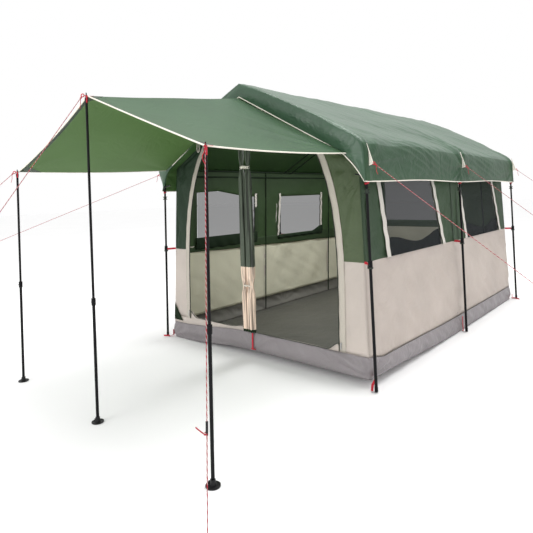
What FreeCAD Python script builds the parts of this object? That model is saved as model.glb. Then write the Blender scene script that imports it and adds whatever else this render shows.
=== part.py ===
"""Cabin tent with a three-pole porch canopy, guy lines and a telescoping steel frame.

Millimetres, +Z up, +X to the right, +Y to the rear. The origin is on the ground, in the
middle of the rectangle that the porch feet and the rear legs stand on.
"""
import FreeCAD, Part
import math
import os

V = FreeCAD.Vector

# ---- Driving dimensions -------------------------------------------------------------
LEG_FOOT_X = 1174.0        # leg axis at the ground
LEG_HEM_X = 1143.0         # leg axis at the hem of the fly
HEM_Z = 1472.0
FRONT_Y, MID_Y, REAR_Y = -1090.0, 715.0, 2520.0
PORCH_Y = -2520.0
EAVE_Z = 1695.0            # where a leg meets its rafter
RIDGE_Z = 2310.0           # axis of the ridge pole

UPPER_R, LOWER_R, TUBE_WALL, SLIDE_GAP = 9.5, 11.0, 1.2, 0.3
LEG_OVERLAP = 170.0        # inner tube inside the outer one at full length
COLLAR_Z, COLLAR_H, COLLAR_R = 890.0, 56.0, 16.0
FOOT_R, FOOT_H = 37.5, 5.0  # round feet of the porch poles
LEG_END_Z = 9.0            # a leg's open lower end, over its pin

SHEET = 2.0                # thickness that a fabric panel is given
FLY_TOP_Z, SHOULDER_X, SHOULDER_Z, HEM_X = 2365.0, 1158.0, 1748.0, 1168.0
PIPE_R, PIPE_GAP = 3.0, 0.4
FLY_FRONT_Y = -1150.0
FLY_REAR_Y = -PORCH_Y + FOOT_R - 2 * PIPE_R - PIPE_GAP
VISOR_Z, VISOR_KNEE_X, VISOR_KNEE_Z = 2219.0, 977.0, 1679.0

WALL_FOOT_X, WALL_LEAN = 1110.0, 0.0408        # the walls lean inwards as they rise
FRONT_FOOT_Y, REAR_FOOT_Y, END_LEAN = -1050.0, 2480.0, 0.0204
BAND_H = 155.0             # tub of the groundsheet
INNER_TOP_Z, INNER_SLOPE = 2250.0, 0.5403
SILL_Z, ARCH_BASE_Z, ARCH_TOP_Z, ARCH_HALF, ARCH_POWER = 220.0, 600.0, 2100.0, 860.0, 2.6
WINDOW_Z = (890.0, 1500.0)
WINDOWS_Y = {1: ((-690.0, 330.0), (1010.0, 2100.0)), -1: ((-750.0, 145.0), (600.0, 1500.0))}
REAR_WINDOW_X, REAR_WINDOW_Z = 550.0, (985.0, 1540.0)
BELT_Z, STRAP_INSET = 889.0, 12.0

PORCH_X, PORCH_SIDE_Z, PORCH_MID_Z = 1098.0, 1632.0, 2046.0
PORCH_UPPER_R, PORCH_LOWER_R = 8.0, 9.5
PORCH_LEAN = 0.9           # degrees that the two side poles lean to the right
PORCH_COLLAR_Z, PORCH_COLLAR_H, PORCH_COLLAR_R = 760.0, 44.0, 13.5
SPIGOT_R, SPIGOT_LENGTH = 3.5, 30.0
SPIGOT_ROOT_R, SPIGOT_ROOT = 4.2, 18.0         # thicker root that the canopy's eyelet sits on
BALL_R, BALL_Z, BOSS_R, BOSS_TOP = 8.0, 22.0, 13.0, 33.0

BUTTON_R, BUTTON_TRAVEL, BUTTON_PROUD = 4.0, 2.5, 4.0
PIN_R, PIN_HEIGHT, PIN_RING_R, CENTRE_PIN_Z = 2.5, 42.0, 11.0, 82.0
CORD_R, RING_R, RING_WIRE = 2.5, 9.0, 1.6
GUY_RING_R, GUY_SHANK = 12.0, 30.0             # ring and shank at a guy line's far end
ROLL_R, ROLL_X, ROLL_Y = 35.0, -35.0, -1076.0

LEG_YS = {"front": FRONT_Y, "mid": MID_Y, "rear": REAR_Y}
SIDES = {"left": -1, "right": 1}

# Guy lines: centre of the eye at the tent, and centre of the ring at the far end.
GUYS = {
    "guy_right_front": ((1210, -1100, 1590), (2165, -932, 803)),
    "guy_right_mid": ((1210, MID_Y, 1616), (1812, 821, 1093)),
    "guy_right_rear": ((1210, REAR_Y, 1624), (1470, REAR_Y, 1412)),
    "guy_left_front": ((-1210, -1100, 1636), (-2270, -2324, 1004)),
    "guy_left_mid": ((-1210, MID_Y, 1616), (-1812, 821, 1093)),
    "guy_left_rear": ((-1210, REAR_Y, 1624), (-1470, REAR_Y, 1412)),
    "guy_porch_mid": ((-15, -2536, 2054), (-285, -3005, 1258)),
    "guy_porch_left": ((-1115, -2535, 1634), (-1199, -2684, 1474)),
    "guy_porch_right": ((1114, -2536, 1634), (1603, -3023, 60)),
}
RUNNER_SHARE = 0.70        # how far down the right porch guy its runner sits
RUNNER_HALF, RUNNER_R = 24.0, 5.0


# ---- Small helpers ------------------------------------------------------------------
def rod(start, end, radius):
    """Solid round bar from start to end."""
    a, b = V(*start), V(*end)
    return Part.makeCylinder(radius, (b - a).Length, a, b - a)


def tube(start, end, radius, wall):
    return rod(start, end, radius).cut(rod(start, end, radius - wall))


def ring(centre, normal, radius, wire):
    return Part.makeTorus(radius, wire, V(*centre), V(*normal))


def plate(points, offset):
    """Flat convex panel: the outline moved by offset makes its thickness."""
    outline = [V(*p) for p in points]
    return Part.Face(Part.makePolygon(outline + outline[:1])).extrude(V(*offset))


def block(low, high):
    return Part.makeBox(*[b - a for a, b in zip(low, high)], V(*low))


def rounded_block(low, high, radius):
    """Block with its edges along Z rounded."""
    solid = block(low, high)
    return solid.makeFillet(radius, [e for e in solid.Edges if upright(e)])


def upright(edge):
    a, b = [v.Point for v in edge.Vertexes]
    return abs(a.x - b.x) < 1e-6 and abs(a.y - b.y) < 1e-6


def along(start, end, share):
    return tuple(a + (b - a) * share for a, b in zip(start, end))


def towards(start, end, distance):
    """Point at a distance from start on the way to end."""
    return along(start, end, distance / (V(*end) - V(*start)).Length)


def mirrored(solids):
    """The solids and their mirror images across the tent's middle plane."""
    return solids + [s.mirror(V(0, 0, 0), V(1, 0, 0)) for s in solids]


def export(node, solids):
    solids = solids if isinstance(solids, list) else [solids]
    shape = solids[0] if len(solids) == 1 else Part.makeCompound(solids)
    shape.exportStep("parts/" + node + ".step")
    print(node, len(shape.Solids), "valid" if shape.isValid() else "NOT VALID")


# ---- Leaning legs -------------------------------------------------------------------
def leg_point(side, y, z):
    x = LEG_FOOT_X + (LEG_HEM_X - LEG_FOOT_X) * z / HEM_Z
    return (side * x, y, z)


def leg_rod(side, y, low, high, radius):
    return rod(leg_point(side, y, low), leg_point(side, y, high), radius)


def leg_upper(side, y):
    low, high = COLLAR_Z - LEG_OVERLAP, EAVE_Z - 8
    return leg_rod(side, y, low, high, UPPER_R).cut(
        leg_rod(side, y, low, high, UPPER_R - TUBE_WALL)
    )


def foot_disc(centre_x, centre_y):
    """Round ground plate with a raised rim."""
    low = Part.makeCylinder(FOOT_R, FOOT_H, V(centre_x, centre_y, 0))
    dish = Part.makeCylinder(FOOT_R - 5, FOOT_H, V(centre_x, centre_y, 3))
    return low.cut(dish)


def leg_lower(side, y):
    """Outer tube, its collar and the plastic ferrule at its open lower end."""
    ferrule_top, bore_r = LEG_END_Z + 34, UPPER_R + SLIDE_GAP
    outer = leg_rod(side, y, LEG_END_Z + 2, COLLAR_Z - 20, LOWER_R)
    outer = outer.cut(leg_rod(side, y, LEG_END_Z + 2, COLLAR_Z - 20, bore_r))
    collar = leg_rod(side, y, COLLAR_Z - COLLAR_H / 2, COLLAR_Z + COLLAR_H / 2, COLLAR_R)
    pocket = leg_rod(side, y, COLLAR_Z - COLLAR_H, COLLAR_Z - 20, LOWER_R + 0.05)
    collar = collar.cut(leg_rod(side, y, COLLAR_Z - COLLAR_H, COLLAR_Z + COLLAR_H, bore_r))
    collar = collar.cut(pocket).cut(button_pocket(side, y))
    ferrule = leg_rod(side, y, LEG_END_Z, ferrule_top, LOWER_R + 1.5)
    ferrule = ferrule.cut(leg_rod(side, y, LEG_END_Z + 2, ferrule_top + 1, LOWER_R + 0.05))
    ferrule = ferrule.cut(leg_rod(side, y, LEG_END_Z - 1, LEG_END_Z + 3, PIN_R + 2))
    return [outer, collar, ferrule]


def button_pocket(side, y):
    x, _, z = leg_point(side, y, COLLAR_Z)
    return rod((x, y - COLLAR_R - 2, z), (x, y - UPPER_R - 0.9, z), BUTTON_R + 0.25)


def leg_button(side, y):
    """Round push button in the collar's front, clear of the inner tube at full travel."""
    x, _, z = leg_point(side, y, COLLAR_Z)
    tip = y - UPPER_R - 1.2 - BUTTON_TRAVEL
    head = y - COLLAR_R - BUTTON_PROUD
    return rod((x, head, z), (x, tip, z), BUTTON_R)


def eave_elbow(side, y):
    """Socket that joins a leg to its rafter."""
    corner = leg_point(side, y, EAVE_Z)
    ridge = (0, y, RIDGE_Z)
    body = leg_rod(side, y, EAVE_Z - 70, EAVE_Z, 12.5)
    body = body.fuse(rod(corner, towards(corner, ridge, 80), 12.5))
    body = body.fuse(Part.makeSphere(13.5, V(*corner)))
    body = body.cut(leg_rod(side, y, EAVE_Z - 72, EAVE_Z - 7, UPPER_R + 0.1))
    return body.cut(rod(towards(corner, ridge, 14), towards(corner, ridge, 90), UPPER_R + 0.1))


def rafter(side, y):
    corner, ridge = leg_point(side, y, EAVE_Z), (0, y, RIDGE_Z)
    return tube(towards(corner, ridge, 15), towards(ridge, corner, 22), UPPER_R, TUBE_WALL)


def ridge_hub(y):
    """Block that holds two rafters and the ridge pole."""
    ridge = (0, y, RIDGE_Z)
    body = Part.makeSphere(19, V(*ridge))
    for side in SIDES.values():
        corner = leg_point(side, y, EAVE_Z)
        body = body.fuse(rod(ridge, towards(ridge, corner, 80), 12.5))
    ends = [s for s in (-1, 1) if FRONT_Y <= y + 100 * s <= REAR_Y]
    for s in ends:
        body = body.fuse(rod(ridge, (0, y + 70 * s, RIDGE_Z), 12.5))
    for side in SIDES.values():
        corner = leg_point(side, y, EAVE_Z)
        socket = rod(towards(ridge, corner, 21.5), towards(ridge, corner, 90), UPPER_R + 0.1)
        body = body.cut(socket)
    for s in ends:
        body = body.cut(rod((0, y + 21 * s, RIDGE_Z), (0, y + 90 * s, RIDGE_Z), UPPER_R + 0.1))
    return body


def ridge_pole(start_y, end_y):
    return tube((0, start_y + 22, RIDGE_Z), (0, end_y - 22, RIDGE_Z), UPPER_R, TUBE_WALL)


def wall_clip(side, y):
    """Clip round the leg with a tongue that reaches for the wall."""
    z = HEM_Z + 40
    x = leg_point(side, y, z)[0]
    cuff = leg_rod(side, y, z - 14, z + 14, UPPER_R + 3.5)
    cuff = cuff.cut(leg_rod(side, y, z - 15, z + 15, UPPER_R + 0.1))
    root, tip = side * (abs(x) - UPPER_R - 2), side * (wall_x(z) + 6)
    tongue = plate(
        [(root, y - 4, z - 7), (root, y - 4, z + 7), (tip, y - 4, z + 17), (tip, y - 4, z + 9)],
        (0, 8, 0),
    )
    return cuff.fuse(tongue).removeSplitter()


# ---- Porch poles --------------------------------------------------------------------
PORCH_POLES = {
    "left": (-PORCH_X, PORCH_SIDE_Z),
    "mid": (0.0, PORCH_MID_Z),
    "right": (PORCH_X, PORCH_SIDE_Z),
}


def lean_angle(x):
    return PORCH_LEAN if x else 0.0


def porch_foot_x(x, top):
    """Place of a pole's foot: its top stays at x."""
    return x - (top - BALL_Z) * math.sin(math.radians(lean_angle(x)))


def leaning(shape, x, top):
    """Takes a part built upright at a pole's foot and swings it about the foot's ball."""
    shape.rotate(V(porch_foot_x(x, top), PORCH_Y, BALL_Z), V(0, 1, 0), lean_angle(x))
    return shape


def porch_upper(x, top):
    low = PORCH_COLLAR_Z - 140
    pole = tube((x, PORCH_Y, low), (x, PORCH_Y, top - 12), PORCH_UPPER_R, TUBE_WALL)
    cap = rod((x, PORCH_Y, top - 30), (x, PORCH_Y, top - 6), PORCH_UPPER_R + 2)
    cap = cap.cut(rod((x, PORCH_Y, top - 31), (x, PORCH_Y, top - 12), PORCH_UPPER_R + 0.05))
    spigot = rod((x, PORCH_Y, top - 6), (x, PORCH_Y, top - 6 + SPIGOT_LENGTH), SPIGOT_R)
    root = rod((x, PORCH_Y, top - 6), (x, PORCH_Y, top - 6 + SPIGOT_ROOT), SPIGOT_ROOT_R)
    return [pole, cap.fuse(root).fuse(spigot)]


def porch_lower(x):
    """Outer tube with its collar, and the ball that the foot swivels on."""
    bore_r = PORCH_UPPER_R + SLIDE_GAP
    base, top = 38.0, PORCH_COLLAR_Z - 14
    outer = rod((x, PORCH_Y, base), (x, PORCH_Y, top), PORCH_LOWER_R)
    outer = outer.cut(rod((x, PORCH_Y, base), (x, PORCH_Y, top), bore_r))
    low, high = PORCH_COLLAR_Z - PORCH_COLLAR_H / 2, PORCH_COLLAR_Z + PORCH_COLLAR_H / 2
    collar = rod((x, PORCH_Y, low), (x, PORCH_Y, high), PORCH_COLLAR_R)
    collar = collar.cut(rod((x, PORCH_Y, low), (x, PORCH_Y, high), bore_r))
    collar = collar.cut(rod((x, PORCH_Y, low), (x, PORCH_Y, top), PORCH_LOWER_R + 0.05))
    back = PORCH_Y - PORCH_UPPER_R - 0.7
    front = PORCH_Y - PORCH_COLLAR_R - 2
    hole = rod((x, front, PORCH_COLLAR_Z), (x, back, PORCH_COLLAR_Z), BUTTON_R - 0.75)
    plug = rod((x, PORCH_Y, base), (x, PORCH_Y, base + 25), bore_r - 0.05)
    neck = rod((x, PORCH_Y, BALL_Z), (x, PORCH_Y, base), 4.5)
    ball = Part.makeSphere(BALL_R, V(x, PORCH_Y, BALL_Z))
    return [outer, collar.cut(hole), ball.fuse(neck).fuse(plug)]


def porch_button(x):
    tip = PORCH_Y - PORCH_UPPER_R - 1.0 - BUTTON_TRAVEL / 2
    head = PORCH_Y - PORCH_COLLAR_R - BUTTON_PROUD + 1
    return rod((x, head, PORCH_COLLAR_Z), (x, tip, PORCH_COLLAR_Z), BUTTON_R - 1)


def porch_foot(x):
    """Disc with a socket for the pole's ball, and a lug with a peg hole."""
    disc = foot_disc(x, PORCH_Y)
    boss = Part.makeCone(BOSS_R + 4, BOSS_R, BOSS_TOP - 3, V(x, PORCH_Y, 3))
    lug = rounded_block((x - 31, PORCH_Y - 6, 3), (x - 22, PORCH_Y + 6, 15), 2)
    foot = disc.fuse(boss).fuse(lug)
    foot = foot.cut(Part.makeSphere(BALL_R + 0.3, V(x, PORCH_Y, BALL_Z)))
    return foot.cut(rod((x, PORCH_Y, BALL_Z), (x, PORCH_Y, BOSS_TOP + 2), 7.3))


# ---- Fabric, as flat convex panels --------------------------------------------------
def arch_half_width(z):
    """Half width of the doorway: straight sides, then one smooth arch."""
    if z <= ARCH_BASE_Z:
        return ARCH_HALF
    share = (z - ARCH_BASE_Z) / (ARCH_TOP_Z - ARCH_BASE_Z)
    return ARCH_HALF * max(0.0, 1 - share**ARCH_POWER) ** (1 / ARCH_POWER)


def wall_x(z):
    return WALL_FOOT_X - WALL_LEAN * z


def front_y(z):
    return FRONT_FOOT_Y + END_LEAN * z


def rear_y(z):
    return REAR_FOOT_Y - END_LEAN * z


def wall_half_width(z):
    return min(wall_x(z), (INNER_TOP_Z - z) / INNER_SLOPE)


# Height where the side walls meet the inner roof
WALL_TOP_Z = (INNER_TOP_Z - INNER_SLOPE * WALL_FOOT_X) / (1 - INNER_SLOPE * WALL_LEAN)


def end_panel(place_y, corners, thick):
    """Part of a leaning end wall, from its (x, z) corners."""
    return plate([(x, place_y(z), z) for x, z in corners], (0, thick, 0))


def wall_front():
    low = BAND_H + SHEET
    levels = [SILL_Z, ARCH_BASE_Z, 950, 1250, WALL_TOP_Z, 1850, 2000, ARCH_TOP_Z]
    foot, step = wall_half_width(low), wall_half_width(SILL_Z)
    sill = [(-foot, low), (foot, low), (step, SILL_Z), (-step, SILL_Z)]
    strips = []
    for a, b in zip(levels, levels[1:]):
        corners = [(arch_half_width(a), a), (wall_half_width(a), a)]
        corners += [(wall_half_width(b), b), (arch_half_width(b), b)]
        strips.append(end_panel(front_y, corners, SHEET))
    top_x = wall_half_width(ARCH_TOP_Z)
    peak = [(-top_x, ARCH_TOP_Z), (top_x, ARCH_TOP_Z), (0, INNER_TOP_Z)]
    ends = [end_panel(front_y, corners, SHEET) for corners in (sill, peak)]
    return ends + mirrored(strips)


def wall_rear():
    """Panels below, beside and above the rear window."""
    low, (z0, z1), x = BAND_H + SHEET, REAR_WINDOW_Z, REAR_WINDOW_X
    foot, a, b, c = [wall_half_width(z) for z in (low, z0, z1, WALL_TOP_Z)]
    below = [(-foot, low), (foot, low), (a, z0), (-a, z0)]
    above = [(-b, z1), (b, z1), (c, WALL_TOP_Z), (0, INNER_TOP_Z), (-c, WALL_TOP_Z)]
    beside = end_panel(rear_y, [(x, z0), (a, z0), (b, z1), (x, z1)], -SHEET)
    return [end_panel(rear_y, corners, -SHEET) for corners in (below, above)] + mirrored([beside])


def front_end(z):
    return front_y(z) + SHEET


def rear_end(z):
    return rear_y(z) - SHEET


def side_panel(side, start_y, end_y, z_range):
    """Part of a leaning side wall; each end is a place, or a function of the height."""
    z0, z1 = z_range
    corners = []
    for y, z in ((start_y, z0), (end_y, z0), (end_y, z1), (start_y, z1)):
        place = y(z) if callable(y) else y
        corners.append((side * wall_x(z), place, z))
    return plate(corners, (side * SHEET, 0, 0))


def wall_side(side):
    """Panels below, above and between the two windows."""
    panels = [side_panel(side, front_end, rear_end, (BAND_H + SHEET, WINDOW_Z[0]))]
    panels.append(side_panel(side, front_end, rear_end, (WINDOW_Z[1], WALL_TOP_Z)))
    edges = [front_end, *WINDOWS_Y[side][0], *WINDOWS_Y[side][1], rear_end]
    for y0, y1 in zip(edges[::2], edges[1::2]):
        panels.append(side_panel(side, y0, y1, WINDOW_Z))
    return panels


def window_mesh():
    gap = 1.0
    low, high = WINDOW_Z[0] + gap, WINDOW_Z[1] - gap
    panes = [
        side_panel(side, y0 + gap, y1 - gap, (low, high))
        for side in SIDES.values()
        for y0, y1 in WINDOWS_Y[side]
    ]
    x, (z0, z1) = REAR_WINDOW_X - gap, REAR_WINDOW_Z
    corners = [(-x, z0 + gap), (x, z0 + gap), (x, z1 - gap), (-x, z1 - gap)]
    return panes + [end_panel(rear_y, corners, -SHEET)]


def groundsheet():
    """Floor with a raised, slightly leaning edge all round."""
    floor = block((-WALL_FOOT_X, FRONT_FOOT_Y, 0), (WALL_FOOT_X, REAR_FOOT_Y, SHEET))
    foot, top = wall_x(SHEET), wall_x(BAND_H)
    corners = [(-foot, SHEET), (foot, SHEET), (top, BAND_H), (-top, BAND_H)]
    front = end_panel(front_y, corners, SHEET)
    rear = end_panel(rear_y, corners, -SHEET)
    return [floor, front, rear] + mirrored([side_panel(1, front_y, rear_y, (SHEET, BAND_H))])


def inner_roof():
    """Sewn-in roof under the frame, and its two eaves."""
    y0, y1 = front_y(INNER_TOP_Z) + SHEET + 0.5, rear_y(INNER_TOP_Z) - SHEET - 0.5
    edge = wall_x(WALL_TOP_Z) - 1
    drop = INNER_SLOPE * edge
    section = [(0, y0, INNER_TOP_Z), (edge, y0, INNER_TOP_Z - drop)]
    section += [(edge, y0, INNER_TOP_Z - drop - SHEET), (0, y0, INNER_TOP_Z - SHEET)]
    return mirrored([plate(section, (0, y1 - y0, 0))])


def fly_slope(x):
    """Height of the fly's top surface over a place across the tent."""
    return FLY_TOP_Z + (SHOULDER_Z - FLY_TOP_Z) * x / SHOULDER_X


def fly():
    y0, y1 = FLY_FRONT_Y + SHEET + 0.5, FLY_REAR_Y - SHEET - 0.5
    slope = [(0, y0, FLY_TOP_Z), (SHOULDER_X, y0, SHOULDER_Z)]
    slope += [(SHOULDER_X, y0, SHOULDER_Z - SHEET), (0, y0, FLY_TOP_Z - SHEET)]
    drop = [(SHOULDER_X + 0.3, y0, SHOULDER_Z - SHEET), (SHOULDER_X + 2.3, y0, SHOULDER_Z - SHEET)]
    drop += [(HEM_X + SHEET, y0, HEM_Z), (HEM_X, y0, HEM_Z)]
    panels = [plate(slope, (0, y1 - y0, 0)), plate(drop, (0, y1 - y0, 0))]
    for y in (FLY_FRONT_Y, FLY_REAR_Y - SHEET):
        knee, gap = VISOR_KNEE_X, 0.3
        inner = [(0, y, VISOR_Z), (knee, y, VISOR_KNEE_Z)]
        inner += [(knee, y, fly_slope(knee)), (0, y, FLY_TOP_Z)]
        outer = [(knee + gap, y, VISOR_KNEE_Z), (HEM_X, y, HEM_Z)]
        outer += [(SHOULDER_X, y, SHOULDER_Z), (knee + gap, y, fly_slope(knee + gap))]
        panels += [plate(inner, (0, SHEET, 0)), plate(outer, (0, SHEET, 0))]
    return mirrored(panels)


CANOPY_REAR_Y, CANOPY_FRONT_Y = FLY_FRONT_Y - 3, PORCH_Y + 12
CANOPY_RIDGE = ((0, CANOPY_REAR_Y, VISOR_Z), (0, CANOPY_FRONT_Y, PORCH_MID_Z + 4))
CANOPY_EDGE = (
    (1023, CANOPY_REAR_Y, VISOR_KNEE_Z - 8),
    (PORCH_X - 10, CANOPY_FRONT_Y, PORCH_SIDE_Z + 4),
)


def canopy():
    """Two slopes, each of two flat triangles."""
    thick = (0, 0, SHEET)
    halves = [
        plate([CANOPY_RIDGE[0], CANOPY_EDGE[0], CANOPY_EDGE[1]], thick),
        plate([CANOPY_RIDGE[0], CANOPY_EDGE[1], CANOPY_RIDGE[1]], thick),
    ]
    return mirrored(halves)


def piping():
    """Thin cord sewn along the fly's hems and the canopy's edges."""
    r, y = PIPE_R, FLY_FRONT_Y - 6
    rear_y = FLY_REAR_Y + PIPE_R + PIPE_GAP
    lines = [
        ((0, y, VISOR_Z - 10), (VISOR_KNEE_X, y, VISOR_KNEE_Z - 12)),
        ((VISOR_KNEE_X + 5, y, VISOR_KNEE_Z - 18), (HEM_X - 2, y, HEM_Z - 3)),
        ((0, rear_y, VISOR_Z - 10), (VISOR_KNEE_X, rear_y, VISOR_KNEE_Z - 12)),
        ((VISOR_KNEE_X + 5, rear_y, VISOR_KNEE_Z - 18), (HEM_X - 2, rear_y, HEM_Z - 3)),
        ((HEM_X, FLY_FRONT_Y, HEM_Z - 4), (HEM_X, FLY_REAR_Y - 4, HEM_Z - 4)),
    ]
    edge = [tuple(p) for p in CANOPY_EDGE]
    out = [(x + 4.5, y, z) for x, y, z in edge]
    lines.append((out[0], along(out[0], out[1], 0.985)))
    front = [(x, y - 4, z) for x, y, z in (CANOPY_RIDGE[1], CANOPY_EDGE[1])]
    lines.append((along(front[0], front[1], 0.02), along(front[0], front[1], 0.98)))
    return mirrored([rod(a, b, r) for a, b in lines])


# ---- Webbing, rings and hardware ----------------------------------------------------
def guy_tab(side, y, z):
    """Triangular fin of doubled cloth beside the fly, with its tip at the guy line's eye."""
    points = [(side * 1166, y, z + 120), (side * 1171, y, z - 12), (side * 1198, y, z)]
    return plate(points, (0, SHEET, 0))


def guy_direction(name):
    start, end = GUYS[name]
    return V(*end) - V(*start)


def guy_eye(name):
    """Webbing eye that a guy line is tied to."""
    start = GUYS[name][0]
    normal = guy_direction(name).cross(V(0, 0, 1))
    return ring(start, tuple(normal), RING_R, RING_WIRE)


def guy_line(name):
    start, end = GUYS[name]
    first = towards(start, end, RING_R + RING_WIRE + 0.3)
    last = towards(end, start, GUY_RING_R + 4.3)
    length = (V(*last) - V(*first)).Length
    print("  ", name, "%.0f mm" % length)
    return rod(first, last, CORD_R)


def guy_end(name):
    """Steel ring with a short shank at the far end of a guy line."""
    start, end = GUYS[name]
    direction = guy_direction(name)
    normal = direction.cross(V(0, 0, 1))
    normal.normalize()
    loop = ring(end, tuple(normal), GUY_RING_R, 2.0)
    direction.normalize()
    shank_start = tuple(V(*end) + direction * (GUY_RING_R + 2.3))
    shank_end = tuple(V(*end) + direction * (GUY_RING_R + 2.3 + GUY_SHANK))
    return [loop, rod(shank_start, shank_end, 2.0)]


def ground_peg():
    """Peg at the foot of the right porch guy: its part above ground."""
    x, y, _ = GUYS["guy_porch_right"][1]
    stem = rod((x + 12, y - 12, 0), (x + 20, y - 20, 44), 3.5)
    head = rod((x + 20, y - 20, 44), (x + 34, y - 34, 44), 3.5)
    knee = Part.makeSphere(3.5, V(x + 20, y - 20, 44))
    return stem.fuse(knee).fuse(head)


def runner():
    """Slider on the right porch guy: a bar with two holes for the line."""
    start, end = GUYS["guy_porch_right"]
    centre = V(*along(start, end, RUNNER_SHARE))
    direction = guy_direction("guy_porch_right")
    direction.normalize()
    low, high = centre - direction * RUNNER_HALF, centre + direction * RUNNER_HALF
    body = rod(tuple(low), tuple(high), RUNNER_R)
    return body.cut(rod(tuple(low - direction), tuple(high + direction), CORD_R + 0.6))


def belt_strap(side, y):
    """Short webbing from the wall's belt to beside the leg's collar."""
    z, half = BELT_Z, 10
    inner, outer = side * (wall_x(z) + SHEET + 1), side * (leg_point(1, y, z)[0] - COLLAR_R - 3)
    near = nearest_wall_y(y, z)
    outline = [(inner, near - half, z), (outer, y - half, z)]
    outline += [(outer, y + half, z), (inner, near + half, z)]
    return plate(outline, (0, 0, SHEET))


def nearest_wall_y(y, z):
    """Place along a side wall that is nearest to a leg at y."""
    return min(max(y, front_y(z) + STRAP_INSET), rear_y(z) - STRAP_INSET)


def foot_strap(side, y):
    """Webbing from the foot of the wall to the ring beside the leg."""
    high, low, half = 34, 8, 11
    inner, outer = side * (wall_x(high) + SHEET + 1), side * (LEG_FOOT_X - 4 * PIN_RING_R)
    near = nearest_wall_y(y, high)
    outline = [(inner, near - half, high), (outer, y - half, low)]
    outline += [(outer, y + half, low), (inner, near + half, high)]
    return plate(outline, (0, 0, SHEET))


def foot_pin(side, y):
    """Ring and pin: the pin stands up inside the leg's open end."""
    x, z = LEG_FOOT_X, PIN_R + 0.5
    hoop = ring((side * (x - 2.4 * PIN_RING_R), y, z), (0, 0, 1), PIN_RING_R, 2.0)
    arm = rod((side * (x - 1.4 * PIN_RING_R), y, z), (side * x, y, z), PIN_R)
    pin = rod((side * x, y, z), (side * x, y, PIN_HEIGHT), PIN_R)
    return hoop.fuse(arm).fuse(pin).fuse(Part.makeSphere(PIN_R, V(side * x, y, z)))


def corner_hook(side, y):
    """Red webbing loop that ties the fly's hem to a leg."""
    z = HEM_Z - 14
    x = leg_point(1, y, z)[0]
    loop = rod((side * x, y, z - 7), (side * x, y, z + 7), UPPER_R + 3)
    return loop.cut(rod((side * x, y, z - 8), (side * x, y, z + 8), UPPER_R + 0.8))


def pole_loop(x, top):
    """Eyelet of the canopy round a porch pole's spigot."""
    return ring((x, PORCH_Y, top + 4), (0, 0, 1), SPIGOT_R + 3.2, 2.2)


def door_roll(offset):
    return rod((ROLL_X + offset, ROLL_Y, SILL_Z + 12), (ROLL_X + offset, ROLL_Y, 1960), ROLL_R - 0.5)


def door_tie(z):
    """Band round both rolled curtains."""
    outer = rounded_block(
        (ROLL_X - 2 * ROLL_R - 4, ROLL_Y - ROLL_R - 4, z - 12),
        (ROLL_X + 2 * ROLL_R + 4, ROLL_Y + ROLL_R + 4, z + 12),
        ROLL_R + 3,
    )
    inner = rounded_block(
        (ROLL_X - 2 * ROLL_R - 1, ROLL_Y - ROLL_R - 1, z - 13),
        (ROLL_X + 2 * ROLL_R + 1, ROLL_Y + ROLL_R + 1, z + 13),
        ROLL_R,
    )
    return outer.cut(inner)


def centre_strap():
    """Red webbing and pin at the middle of the doorstep."""
    y = FRONT_FOOT_Y
    strap = block((-15, y - 3.5, CENTRE_PIN_Z - 8), (5, y - 1.0, CENTRE_PIN_Z + 136))
    pin = rod((-23, y - 9, CENTRE_PIN_Z), (13, y - 9, CENTRE_PIN_Z), 2.0)
    return strap, pin


def zip_pull(side):
    """Zip slider with its hanging tab, on the straight edge of the doorway."""
    x, y, z = side * (ARCH_HALF + 12), front_y(SILL_Z + 18) - 1.0, SILL_Z + 60
    slider = block((x - 6, y - 7, z - 8), (x + 6, y, z + 8))
    tab = block((x - 4, y - 10.5, z - 42), (x + 4, y - 8, z - 2))
    bridge = block((x - 2.5, y - 9.5, z - 6), (x + 2.5, y - 6, z - 3))
    return slider.fuse(tab).fuse(bridge).removeSplitter()


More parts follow.
